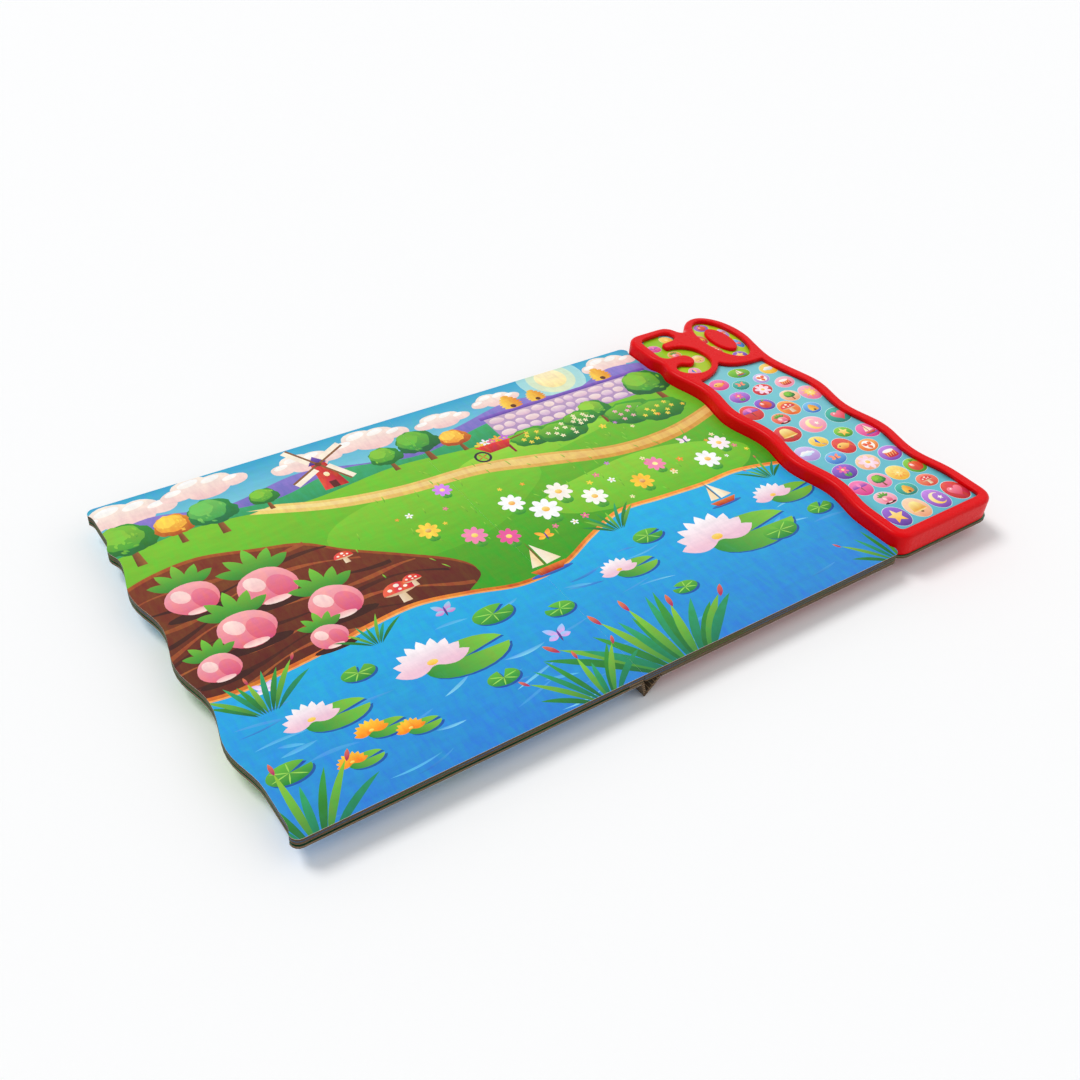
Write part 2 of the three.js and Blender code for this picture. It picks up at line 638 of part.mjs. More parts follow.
const grille = [disc(speakerX, speakerY, grilleHole, footUnder - 1, floorTop + 1, 10)];
for (let ring = 1; ring <= grilleRings; ring += 1) {
  for (let i = 0; i < ring * 6; i += 1) {
    const [spot] = arc(speakerX, speakerY, ring * grillePitch, ring * grillePitch, i * 60 / ring, i * 60 / ring, 1);
    grille.push(disc(spot.x, spot.y, grilleHole, footUnder - 1, floorTop + 1, 8));
  }
}
const footInner = roundedBox(
  [footX[0] + footWall, footX[1] - footWall],
  [footY[0] + footWall, footY[1] - footWall],
  footCorner - footWall,
);
const doorRecess = roundedBox(
  [doorX[0] - seatGap, doorX[1] + seatGap],
  [doorY[0] - seatGap, doorY[1] + seatGap],
  2,
);
const screwPost = disc(...doorScrew, bossRadius + 0.5, doorTop + seatGap, floorTop + 3.2, 14);
const boardPosts = [-1, 1].map((side) => (
  disc(boardX + side * (boardSize[0] / 2 - 3), boardY, 1.8, floorTop - 0.5, floorTop + boardPost, 12)
));
const supportPosts = [-1, 1].flatMap((side) => [cellY + 12.2, speakerY - 20].map((y) => (
  disc(boardX + side * 24, y, 2, floorTop - 0.5, supportUnder - seatGap, 12)
)));
const speakerRing = disc(speakerX, speakerY, speakerRadius + 2, floorTop - 0.5, floorTop + 2, 28)
  .subtract(disc(speakerX, speakerY, speakerRadius + seatGap, floorTop - 1, floorTop + 3, 28));
const baseSolid = join([
  slab(innerOutline, caseFoot, baseTop).subtract(slab(footInner, floorTop, baseTop + 1)),
  slab(footOutline, footUnder, baseTop).subtract(slab(footInner, floorTop, baseTop + 1)),
]);
const baseCut = cut(baseSolid, [
  slab(doorRecess, footUnder - 1, doorTop + seatGap),
  box(bayX, bayY, [footUnder - 1, floorTop + 1]),
  ...places.map(([x, y]) => disc(x, y, pilotRadius + 0.1, caseFoot - 1, baseTop + 1, 10)),
  ...places.map(([x, y]) => disc(x, y, screwHead + seatGap, caseFoot - 1, caseFoot + counterbore, 12)),
  ...grille,
]);
const base = cut(join([baseCut, screwPost, ...boardPosts, ...supportPosts, speakerRing]), [
  disc(...doorScrew, pilotRadius, footUnder - 1, floorTop + 2.4, 10),
]);
add(backHalf, 'module_base', base, 0x2b2d30, 0.45);

// Battery door, with a counterbored ear for its screw
const door = cut(slab(roundedBox(doorX, doorY, 1.8), footUnder, doorTop), [
  disc(...doorScrew, pilotRadius + 0.1, footUnder - 1, doorTop + 1, 10),
  disc(...doorScrew, screwHead + seatGap, footUnder - 1, footUnder + screwHeadHeight + 0.1, 14),
]);
add(backHalf, 'battery_door', door, 0x2b2d30, 0.45);

// A pan-head screw pointing up, with a cross in its head
function screw([x, y], low, length) {
  const [long, short, deep] = [screwHead * 0.6, 0.2, 0.3];
  return disc(x, y, screwHead, low, low + screwHeadHeight, 12)
    .add(disc(x, y, screwShank, low, low + length, 8))
    .subtract(box([x - long, x + long], [y - short, y + short], [low - 1, low + deep]))
    .subtract(box([x - short, x + short], [y - long, y + long], [low - 1, low + deep]));
}

add(backHalf, 'door_screw', screw(doorScrew, footUnder + 0.05, 4.2), 0xb8bcc0, 0.3, 1);

// Case screws, driven from below through the base flange into the frame's bosses
places.forEach((place, i) => {
  add(backHalf, `case_screw_${i + 1}`, screw(place, caseFoot + 0.1, screwReach), 0xb8bcc0, 0.3, 1);
});

// Cells, their spring strips, and the strips that link them
const cellLow = doorTop + seatGap * 2 + contactSheet + 0.3;
const cellTop = cellLow + cellHeight;
cells.forEach(([x, y], i) => {
  const button = disc(x, y, cellRadius, cellLow + 0.6, cellTop, 24)
    .add(disc(x, y, cellRadius - 0.8, cellLow, cellLow + 0.7, 24));
  add(backHalf, `battery_cell_${i + 1}`, button, 0xc4c7c9, 0.25, 1);
});

const stripHigh = cellTop + seatGap;
const stripRoof = stripHigh + contactSheet;
const stripLow = cellLow - seatGap - contactSheet;
const link = (from, to, low) => box(
  [from[0] - fingerWidth / 2, to[0] + fingerWidth / 2],
  [cellY - fingerWidth / 2, cellY + fingerWidth / 2],
  [low, low + contactSheet],
);
add(backHalf, 'contact_link_lower', link(cells[0], cells[1], stripLow), 0xb0b4b6, 0.3, 1);
add(backHalf, 'contact_link_upper', link(cells[1], cells[2], stripHigh), 0xb0b4b6, 0.3, 1);

// End contacts: each runs from its cell to a pad on the circuit board
const padY = boardY - boardSize[1] / 2 + 2.5;
const padTop = boardTop + seatGap;
const plusX = [cells[0][0] - fingerWidth / 2, cells[0][0] + fingerWidth / 2];
const plus = join([
  box(plusX, [cellY - fingerWidth / 2, padY], [stripHigh, stripRoof]),
  box(plusX, [padY - contactSheet, padY], [padTop, stripRoof]),
  box(plusX, [padY - contactSheet, padY + 2], [padTop, padTop + contactSheet]),
]);
add(backHalf, 'contact_plus', plus, 0xb0b4b6, 0.3, 1);
const minusX = [cells[2][0] - fingerWidth / 2, cells[2][0] + fingerWidth / 2];
const bayWallY = cellY + cellRadius + seatGap;
const minus = join([
  box(minusX, [cellY - fingerWidth / 2, bayWallY + contactSheet], [stripLow, stripLow + contactSheet]),
  box(minusX, [bayWallY, bayWallY + contactSheet], [stripLow, stripRoof]),
  box(minusX, [bayWallY, padY], [stripHigh, stripRoof]),
  box(minusX, [padY - contactSheet, padY], [padTop, stripRoof]),
  box(minusX, [padY - contactSheet, padY + 2], [padTop, padTop + contactSheet]),
]);
add(backHalf, 'contact_minus', minus, 0xb0b4b6, 0.3, 1);

// Circuit board and the resin drop over its chip
const boardHalf = boardSize[0] / 2;
const circuit = box(
  [boardX - boardHalf, boardX + boardHalf],
  [boardY - boardSize[1] / 2, boardY + boardSize[1] / 2],
  [boardTop - boardSize[2], boardTop],
);
add(backHalf, 'circuit_board', circuit, 0x1c6b3a, 0.5);
const chip = disc(boardX, boardY - 1, chipRadius, boardTop + 0.05, boardTop + chipHeight, 18, chipRadius * 0.55);
add(backHalf, 'chip_resin', chip, 0x101010, 0.35);

// Speaker: a pressed basket, a film cone and a magnet
const speakerLow = floorTop + seatGap;
const rimLip = 1.2;
const lathe = (points) => {
  const geometry = new THREE.LatheGeometry(points.map(([r, z]) => new THREE.Vector2(r, z)), 28);
  return toSolid(geometry.rotateX(Math.PI / 2).translate(speakerX, speakerY, 0));
};
const basketTop = speakerLow + speakerHeight - magnetHeight - seatGap;
const basket = lathe([
  [speakerRadius - rimLip, speakerLow], [speakerRadius, speakerLow], [speakerRadius, basketTop],
  [magnetRadius - 4, basketTop], [magnetRadius - 4, basketTop - 0.6],
  [speakerRadius - rimLip, basketTop - 0.6], [speakerRadius - rimLip, speakerLow],
]);
add(backHalf, 'speaker_basket', basket, 0x9da0a3, 0.35, 1);
const cone = lathe([
  [0, speakerLow + 0.9], [4, speakerLow + 1.1], [speakerRadius - rimLip - seatGap, speakerLow + 0.2],
  [speakerRadius - rimLip - seatGap, speakerLow + 0.5], [4, speakerLow + 1.4], [0, speakerLow + 1.2],
]);
add(backHalf, 'speaker_cone', cone, 0xd8c7a0, 0.3);
const magnet = disc(speakerX, speakerY, magnetRadius, basketTop + seatGap, basketTop + seatGap + magnetHeight, 24);
add(backHalf, 'speaker_magnet', magnet, 0x8c9092, 0.3, 1);

// Set the book on its lowest point, centred over the origin
book.updateMatrixWorld(true);
const extent = new THREE.Box3().setFromObject(book);
book.position.set(
  -(extent.min.x + extent.max.x) / 2,
  -(extent.min.y + extent.max.y) / 2,
  -extent.min.z,
);

export default book;
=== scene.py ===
"""A children's sound book, open on a pale floor: board pages, a wavy fore-edge, a red sound module."""
import math

import bpy
import numpy as np
from mathutils import Matrix, Vector
from mathutils.geometry import delaunay_2d_cdt


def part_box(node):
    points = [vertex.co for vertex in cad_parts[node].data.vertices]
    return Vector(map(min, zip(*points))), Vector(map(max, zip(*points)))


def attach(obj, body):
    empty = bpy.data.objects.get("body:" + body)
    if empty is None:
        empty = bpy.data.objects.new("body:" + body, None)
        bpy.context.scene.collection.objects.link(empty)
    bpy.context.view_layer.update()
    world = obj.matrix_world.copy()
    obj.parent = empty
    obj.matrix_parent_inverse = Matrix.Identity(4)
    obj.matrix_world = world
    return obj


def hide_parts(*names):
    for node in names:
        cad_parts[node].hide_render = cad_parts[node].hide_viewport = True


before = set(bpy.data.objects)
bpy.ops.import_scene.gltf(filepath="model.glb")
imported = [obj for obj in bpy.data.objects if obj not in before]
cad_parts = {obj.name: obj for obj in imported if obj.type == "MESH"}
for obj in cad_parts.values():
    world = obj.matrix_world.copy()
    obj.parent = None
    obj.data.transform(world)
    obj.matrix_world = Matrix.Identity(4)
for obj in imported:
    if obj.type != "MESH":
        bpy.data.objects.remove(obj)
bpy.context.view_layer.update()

# The camera looks down across the front edge from the left, as the photograph does. The book's own
# measure starts where the gutter meets the front edge, on the page surface, in metres.
page_low, page_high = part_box("right_pages")
GUTTER = np.array([page_low[0] - 0.00015, page_low[1], page_high[2]])
camera_data = bpy.data.cameras.new("camera")
camera = bpy.data.objects.new("camera", camera_data)
bpy.context.collection.objects.link(camera)
camera_data.sensor_width = 36.0
camera_data.lens = 36.0 * 1182.7 / 1080.0
camera_data.clip_start = 0.01
sight = Matrix((
    (0.81660, 0.31473, -0.48386),
    (-0.57229, 0.55065, -0.60767),
    (0.07519, 0.77313, 0.62978),
)).to_4x4()
camera.matrix_world = Matrix.Translation(Vector(GUTTER) + Vector((-0.29974, -0.28459, 0.40980))) @ sight
bpy.context.scene.camera = camera

# Studio: a pale floor, an even white surround and two large soft lamps. The surround is plain white
# to the camera and in reflections, and dimmer as a light.
view_settings = bpy.context.scene.view_settings
view_settings.view_transform = "Standard"
world = bpy.data.worlds.new("studio")
bpy.context.scene.world = world
world.use_nodes = True
world_nodes, world_links = world.node_tree.nodes, world.node_tree.links
world_nodes.clear()
surround = world_nodes.new("ShaderNodeBackground")
lit = world_nodes.new("ShaderNodeBackground")
path = world_nodes.new("ShaderNodeLightPath")
seen = world_nodes.new("ShaderNodeMath")
seen_all = world_nodes.new("ShaderNodeMath")
choose = world_nodes.new("ShaderNodeMixShader")
world_out = world_nodes.new("ShaderNodeOutputWorld")
surround.inputs["Color"].default_value = (1, 1, 1, 1)
lit.inputs["Color"].default_value = (0.98, 0.99, 1, 1)
lit.inputs["Strength"].default_value = 0.56
seen.operation = seen_all.operation = "MAXIMUM"
world_links.new(path.outputs["Is Camera Ray"], seen.inputs[0])
world_links.new(path.outputs["Is Transmission Ray"], seen.inputs[1])
world_links.new(seen.outputs[0], seen_all.inputs[0])
world_links.new(path.outputs["Is Glossy Ray"], seen_all.inputs[1])
world_links.new(seen_all.outputs[0], choose.inputs[0])
world_links.new(lit.outputs[0], choose.inputs[1])
world_links.new(surround.outputs[0], choose.inputs[2])
world_links.new(choose.outputs[0], world_out.inputs[0])

for lamp_name, way, spread, power in (
    ("key_lamp", (-0.35, 0.55, 1.0), 22.0, 1.35),
    ("fill_lamp", (0.8, -0.5, 0.9), 60.0, 0.35),
):
    lamp_data = bpy.data.lights.new(lamp_name, "SUN")
    lamp_data.angle = math.radians(spread)
    lamp_data.energy = power
    lamp = bpy.data.objects.new(lamp_name, lamp_data)
    lamp.rotation_euler = Vector(way).to_track_quat("Z", "Y").to_euler()
    bpy.context.collection.objects.link(lamp)

floor_mesh = bpy.data.meshes.new("floor")
floor_mesh.from_pydata([(-4, -4, 0), (4, -4, 0), (4, 4, 0), (-4, 4, 0)], [], [(0, 1, 2, 3)])
floor = bpy.data.objects.new("floor", floor_mesh)
bpy.context.collection.objects.link(floor)
floor_paint = bpy.data.materials.new("floor_paint")
floor_paint.use_nodes = True
floor_shader = floor_paint.node_tree.nodes["Principled BSDF"]
floor_shader.inputs["Base Color"].default_value = (0.985, 0.985, 0.985, 1)
floor_shader.inputs["Roughness"].default_value = 0.9
floor_mesh.materials.append(floor_paint)


# Printed sheets: each page carries one sheet of paper glued to the board, printed in colour and
# coated. The picture is cut into the sheet's surface, one flat field of ink to a face.
def ink(code):
    """The scene-linear colour of a six-digit sRGB code, by the standard curve."""
    value = np.array([int(code[i:i + 2], 16) for i in (0, 2, 4)]) / 255.0
    return np.where(value <= 0.04045, value / 12.92, ((value + 0.055) / 1.055) ** 2.4)


def field(points, first, second=None, start=None, end=None):
    """One field of ink: an outline in millimetres, whose colour runs from first at start to second at end."""
    points = np.asarray(points, float)
    low, high = points.min(axis=0), points.max(axis=0)
    start = np.array([low[0], low[1]]) if start is None else np.asarray(start, float)
    end = np.array([low[0], high[1]]) if end is None else np.asarray(end, float)
    return points, ink(first), ink(second or first), start, end


def oval(x, y, rx, ry, turn=0.0, sides=18, wobble=0.0, seed=0, lobes=3):
    """An ellipse whose radius is scaled by 1 + wobble (sin of lobes t + seed and of (2 lobes - 1) t)."""
    t = np.arange(sides) * 2 * np.pi / sides
    r = 1 + wobble * (np.sin(lobes * t + seed) + 0.5 * np.sin((2 * lobes - 1) * t + 1.7 * seed))
    flat = np.stack([rx * r * np.cos(t), ry * r * np.sin(t)], 1)
    c, s = np.cos(turn), np.sin(turn)
    return flat @ np.array([[c, s], [-s, c]]) + (x, y)


def blade(x, y, length, width, turn, bend=0.0, steps=9):
    """A leaf: half widths of sin(pi s)^0.8 on both sides of a spine that turns by bend from root to tip."""
    s = np.linspace(0, 1, steps)
    way = turn + bend * s
    spine = np.stack([np.cos(way), np.sin(way)], 1) * (length / (steps - 1))
    spine = np.concatenate([[[0, 0]], np.cumsum(spine[:-1], axis=0)]) + (x, y)
    side = np.stack([-np.sin(way), np.cos(way)], 1) * (width / 2 * np.sin(np.pi * s) ** 0.8)[:, None]
    return np.concatenate([spine + side, (spine - side)[-2:0:-1]])


def curve(knots, steps=8):
    """A smooth line through the knots by the Catmull-Rom formula."""
    p = np.asarray(knots, float)
    p = np.concatenate([[2 * p[0] - p[1]], p, [2 * p[-1] - p[-2]]])
    t = np.linspace(0, 1, steps, endpoint=False)[:, None, None]
    a, b, c, d = p[:-3], p[1:-2], p[2:-1], p[3:]
    bow, twist = 2 * a - 5 * b + 4 * c - d, 3 * b - a - 3 * c + d
    line = 0.5 * (2 * b + (c - a) * t + bow * t ** 2 + twist * t ** 3)
    return np.concatenate([line.transpose(1, 0, 2).reshape(-1, 2), p[-2:-1]])


def under(line, floor_y=-20.0):
    """Everything below a line, down to a level."""
    line = np.asarray(line)
    return np.concatenate([line, [[line[-1, 0], floor_y], [line[0, 0], floor_y]]])


def inside(points, polygon):
    """Which points lie in a polygon, by counting the edges crossed to the right."""
    x, y = points[:, 0], points[:, 1]
    odd = np.zeros(len(points), bool)
    after = np.roll(polygon, -1, axis=0)
    for (ax, ay), (bx, by) in zip(polygon, after):
        if ay != by:
            odd ^= ((ay > y) != (by > y)) & (x < (bx - ax) * (y - ay) / (by - ay) + ax)
    return odd


def triangles_of(loops, extra=()):
    """Triangles of the plane cut along closed loops and loose points, and their middles."""
    points, edges = [], []
    for loop in loops:
        first = len(points)
        points += [Vector(point) for point in loop]
        edges += [(first + i, first + (i + 1) % len(loop)) for i in range(len(loop))]
    points += [Vector(point) for point in extra]
    corners, _, faces, *_ = delaunay_2d_cdt(points, edges, [], 0, 1e-4)
    corners, faces = np.array([tuple(c) for c in corners]), np.array(faces)
    return corners, faces, corners[faces].mean(axis=1)


def solid_mesh(name, corners, faces, body):
    """A mesh object in metres from corners in the book's millimetres, riding on a body."""
    mesh = bpy.data.meshes.new(name)
    mesh.from_pydata((np.asarray(corners) / 1000 + GUTTER).tolist(), [], [tuple(map(int, f)) for f in faces])
    mesh.validate()
    piece = bpy.data.objects.new(name, mesh)
    bpy.context.collection.objects.link(piece)
    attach(piece, body)
    return piece


def printed_sheet(name, outlines, layers, top, low, body, rise=None, extra=()):
    """A thin closed sheet whose printed face is cut along every field of ink and holds its colours.

    The first outline is the sheet's edge and the others are holes. The last field over a face wins.
    With top under low, the printed face looks down.
    """
    flat, faces, middles = triangles_of(list(outlines) + [layer[0] for layer in layers], extra)
    keep = inside(middles, outlines[0])
    for hole in outlines[1:]:
        keep &= ~inside(middles, hole)
    faces, middles = faces[keep], middles[keep]
    tint = np.zeros((len(faces), 3, 3))
    for points, first, second, start, end in layers:
        near = np.all((middles > points.min(axis=0)) & (middles < points.max(axis=0)), axis=1)
        hit = np.flatnonzero(near)
        hit = hit[inside(middles[hit], points)]
        run = end - start
        share = np.clip((flat[faces[hit]] - start) @ run / max(run @ run, 1e-9), 0, 1)[..., None]
        tint[hit] = first * (1 - share) + second * share
    used, faces = np.unique(faces, return_inverse=True)
    faces = faces.reshape(-1, 3)
    flat = flat[used]
    count = len(flat)
    height = np.full(count, float(top)) if rise is None else top + rise(flat)
    upper, lower = np.column_stack([flat, height]), np.column_stack([flat, np.full(count, low)])
    corners = np.concatenate([upper, lower])
    sides = np.concatenate([faces[:, [0, 1]], faces[:, [1, 2]], faces[:, [2, 0]]])
    key = np.sort(sides, axis=1) @ np.array([count, 1])
    _, back, times = np.unique(key, return_inverse=True, return_counts=True)
    rim = sides[times[back] == 1]
    walls = np.column_stack([rim[:, 1], rim[:, 0], rim[:, 0] + count, rim[:, 1] + count])
    below = faces[:, ::-1] + count
    if top < low:
        faces, below, walls, tint = faces[:, ::-1], below[:, ::-1], walls[:, ::-1], tint[:, ::-1]
    piece = solid_mesh(name, corners, faces.tolist() + below.tolist() + walls.tolist(), body)
    colours = np.ones((len(piece.data.loops), 4))
    colours[:, :3] = 0.75
    colours[:len(faces) * 3, :3] = tint.reshape(-1, 3)
    paint = piece.data.color_attributes.new("Paint", "FLOAT_COLOR", "CORNER")
    paint.data.foreach_set("color", colours.ravel())
    return piece


def node_loops(node, level, up):
    """The closed outlines of a CAD node's level faces at a height in millimetres, longest first."""
    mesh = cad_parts[node].data
    spots = np.empty(len(mesh.vertices) * 3)
    mesh.vertices.foreach_get("co", spots)
    spots = (spots.reshape(-1, 3) - GUTTER) * 1000
    keys = np.round(spots, 3)
    unique, index = np.unique(keys, axis=0, return_inverse=True)
    index = index.ravel()
    directed = {}
    for face in mesh.polygons:
        if (face.normal.z > 0.99 if up else face.normal.z < -0.99):
            ring = [int(index[v]) for v in face.vertices]
            if abs(unique[ring[0], 2] - level) < 0.02:
                for a, b in zip(ring, ring[1:] + ring[:1]):
                    directed.setdefault(a, []).append(b)
    pairs = {(a, b) for a, ends in directed.items() for b in ends}
    follow = {a: b for a, b in pairs if (b, a) not in pairs}
    loops = []
    while follow:
        start, spot = next(iter(follow.items()))
        loop = [start]
        del follow[start]
        while spot != start and spot in follow:
            loop.append(spot)
            spot = follow.pop(spot)
        loops.append(unique[loop, :2])
    return sorted(loops, key=lambda loop: -np.ptp(loop, axis=0).sum())


# Grounds of the picture, back to front: sky, far hills, meadow, ploughed field, path, pond
sky = [
    field([(-200, 190), (200, 190), (200, 262), (-200, 262)], "8fd6e2", "12a0cc", (0, 205), (0, 258)),
]
sun_glow = [field(oval(118, 246, r, r, sides=28), a, b, (118, 246 - r), (118, 246 + r)) for r, a, b in (
    (24, "b9e2dc", "8ed3e0"), (17, "e4ecc4", "c9e6cf"), (11, "ffe9a0", "fff3c8"))]


def placed(parts, x, y, size):
    """A motif drawn at unit size, moved and scaled with the ends of its colour runs."""
    spot = np.array([x, y])
    return [(points * size + spot, first, second, start * size + spot, end * size + spot)
            for points, first, second, start, end in parts]


def cloud(x, y, size, tints=("f6c9c6", "fdeee0")):
    """Five puffs on a flat row, shaded from a warm underside to a pale top."""
    puffs = ((-1.0, 0.0, 0.55), (-0.4, 0.28, 0.7), (0.35, 0.2, 0.62), (0.95, -0.02, 0.5), (0.0, -0.1, 0.8))
    parts = [field(oval(px, py, r, r * 0.62, 0, 20, 0.035, i + x), *tints, (0, -0.5), (0, 0.55))
             for i, (px, py, r) in enumerate(puffs)]
    parts += [field(oval(px - 0.08, py + 0.16, r * 0.55, r * 0.24, 0.2), "fff8ee", "ffffff")
              for px, py, r in puffs[:4]]
    return placed(parts, x, y, size)


clouds = [part for spot in (
    (-168, 239, 19), (-122, 243, 17), (-62, 237, 15), (-18, 240, 17), (30, 237, 13), (72, 241, 12),
    (165, 242, 15),
) for part in cloud(*spot)]

far_hills = [
    field(under(curve([(-200, 222), (-160, 232), (-120, 222), (-70, 230), (-20, 218), (30, 226), (80, 236),
                       (120, 226), (160, 238), (200, 230)])), "6a63b5", "8f7fd0", (0, 205), (0, 238)),
    field(under(curve([(-200, 214), (-150, 222), (-95, 214), (-50, 222), (0, 212), (60, 222), (110, 214),
                       (160, 222), (200, 215)])), "1c8a5a", "3fae6c", (0, 195), (0, 222)),
]
meadow = [
    field(under(curve([(-200, 205), (-140, 212), (-80, 204), (-20, 209), (40, 203), (100, 210), (150, 205),
                       (200, 212)])), "3f9c1c", "7cc62c", (0, 100), (0, 210)),
    field(oval(-20, 160, 70, 30, 0.1, 40, 0.05, 1), "5cb323", "86cc33", (-20, 130), (-20, 190)),
    field(oval(110, 128, 74, 22, -0.08, 40, 0.05, 4), "66b824", "8fd036", (110, 106), (110, 150)),
    field(oval(60, 186, 60, 11, 0.06, 40, 0.06, 2), "7ec62d", "9ed63c", (60, 175), (60, 197)),
]
path_upper = curve([(-96, 210), (-66, 199), (-26, 191), (22, 188), (64, 178), (108, 164), (152, 163),
    (200, 174)])
path_lower = curve([(200, 164), (152, 152), (106, 153), (60, 166), (20, 178), (-28, 182), (-70, 191),
    (-112, 208)])
footpath = [
    field(np.concatenate([path_upper, path_lower]), "d99a3c", "f2cf74", (0, 152), (0, 200)),
    field(np.concatenate([path_upper - (0, 2.2), path_lower + (0, 3.4)]), "e9b95c", "f6dc92", (0, 152),
        (0, 200)),
]
field_edge = curve([(-200, 176), (-176, 184), (-150, 186), (-122, 178), (-98, 170), (-80, 154), (-56, 136),
                    (-34, 118), (-28, 104), (-42, 94)])
ploughed = [
    field(under(field_edge + (0, 2.6), 70), "8a3d18", "a5521f", (0, 90), (0, 186)),
    field(under(field_edge, 70), "5a2210", "7c3616", (0, 92), (0, 184)),
]
edge_right = field_edge[field_edge[:, 1].argmax():][::-1]
for k in range(9):
    t = np.linspace(-190, np.interp(166 - 9.2 * k, edge_right[:, 1], edge_right[:, 0]) - 5, 22)
    ridge = 172 - 9.2 * k + 4 * np.sin(t / 17 + k * 1.1) - 0.0016 * (t + 120) ** 2
    furrow = ridge - 2.0 - 1.1 * np.sin(t / 9 + k)
    strip = np.concatenate([np.stack([t, ridge], 1), np.stack([t, furrow], 1)[::-1]])
    ploughed.append(field(strip, "3c150a" if k % 2 else "93461f", "4e1d0e" if k % 2 else "a9572a"))
bank = curve([(-200, 93), (-176, 88), (-150, 89), (-122, 92), (-98, 96), (-70, 98), (-42, 92), (-14, 84),
    (14, 86),
              (42, 98), (70, 108), (100, 106), (130, 104), (160, 104), (200, 94)])
pond = [
    field(under(bank + (0, 3.4)), "c65c14", "ff9a3c", (0, 85), (0, 108)),
    field(under(bank + (0, 1.2)), "f59a4a", "ffc274", (0, 85), (0, 108)),
    field(under(bank), "2b86d6", "1fb2e6", (0, 0), (0, 104)),
]
rng = np.random.default_rng(7)
for k in range(46):
    x, y = rng.uniform(-185, 185), rng.uniform(2, 82)
    long, thin = rng.uniform(9, 30), rng.uniform(0.8, 2.6)
    tint = ("5cc0ee", "3f9be0", "86d6f2", "2a7acb")[k % 4]
    pond.append(field(blade(x, y, long, thin, rng.uniform(-0.25, 0.25), rng.uniform(-0.5, 0.5)), tint,
        "4aa6e4"))


# Plants and things that stand in the picture. Each is a few fields of ink, dark first, drawn at unit
# size with its foot or middle at the origin.
def tree(x, y, size, dark="1d6b2c", mid="3c9a30", light="86c93a", trunk="6a3a1c"):
    """A trunk that narrows upwards under a crown of lobed ovals, with lit dabs on the upper left."""
    parts = [field([(-0.11, 0), (0.12, 0), (0.05, 0.8), (-0.05, 0.8)], trunk, "9a5c2c", (-0.1, 0), (0.1, 0))]
    crowns = ((0, 1.0, 0.62, dark), (-0.3, 0.85, 0.36, dark), (0.32, 0.86, 0.36, dark),
              (-0.08, 1.1, 0.5, mid), (-0.2, 1.2, 0.3, light))
    for i, (px, py, r, tint) in enumerate(crowns):
        crown = oval(px, py, r, r * 0.88, 0, 26, 0.05, i + x, 6)
        parts.append(field(crown, tint, mid if tint == dark else light, (0, 0.5), (0, 1.6)))
    spots = np.random.default_rng(int(abs(x * 7 + y)))
    for _ in range(16):
        a, r = spots.uniform(0, 6.28), spots.uniform(0.05, 0.5)
        leaf = blade(r * np.cos(a), 1 + r * np.sin(a) * 0.85, 0.15, 0.07, a + 1.2, 0.4)
        parts.append(field(leaf, light if a < 3.6 else mid, light))
    return placed(parts, x, y, size)


def bloom(x, y, r, petal, heart_ink, count=6, turn=0.3, second=None):
    """Petals as ovals round a ring, and a round heart."""
    parts = []
    for i in range(count):
        a = turn + i * 2 * np.pi / count
        spot = (0.62 * np.cos(a), 0.62 * np.sin(a))
        parts.append(field(oval(*spot, 0.46, 0.27, a, 12), petal, second or petal, (0, 0), spot))
    parts.append(field(oval(0, 0, 0.28, 0.26, 0, 10), heart_ink, "fff0a0", (0, -0.3), (0, 0.4)))
    return placed(parts, x, y, r)


def flower(x, y, r, petal, heart_ink, stem=0.0, **more):
    """A bloom on a curved stem with two leaves."""
    parts = []
    if stem:
        parts = [field(blade(x - 0.5, y - stem, stem, 1.1, 1.5, 0.15), "23742a", "4da533"),
                 field(blade(x - 0.3, y - stem, stem * 0.6, r * 0.5, 2.3, -0.8), "2f8a2c", "6cc03a"),
                 field(blade(x, y - stem, stem * 0.6, r * 0.5, 0.8, 0.8), "2f8a2c", "6cc03a")]
    return parts + bloom(x, y, r, petal, heart_ink, **more)


def turnip(x, y, r, seed=0):
    """A round pink root half out of the soil: white foot, pink shoulder, five leaves."""
    parts = [field(oval(0, -0.92, 1.35, 0.26, 0, 16), "3a140a")]
    for i, a in enumerate((2.5, 2.05, 1.57, 1.1, 0.65)):
        leaf = blade((i - 2) * 0.12, 0.7, 1.5 - 0.12 * abs(i - 2), 0.5, a, (i - 2) * -0.15)
        parts.append(field(leaf, "227a2c", "7cc83c", (0, 0.6), (0, 2.1)))
    parts += [
        field(oval(0, 0, 1.06, 0.95, 0, 26, 0.02, seed), "e8627c", "fbb0b4", (0, -1), (0, 1)),
        field(oval(0.42, -0.2, 0.46, 0.64, 0.2, 20), "d94f72", "ee8094"),
        field(oval(-0.38, 0.26, 0.34, 0.42, 0.5, 16), "fcc6c4", "ffe0da"),
        field(oval(0, -0.78, 0.5, 0.16, 0, 14), "ffe6dc", "fbb0b4"),
    ]
    return placed(parts, x, y, r)


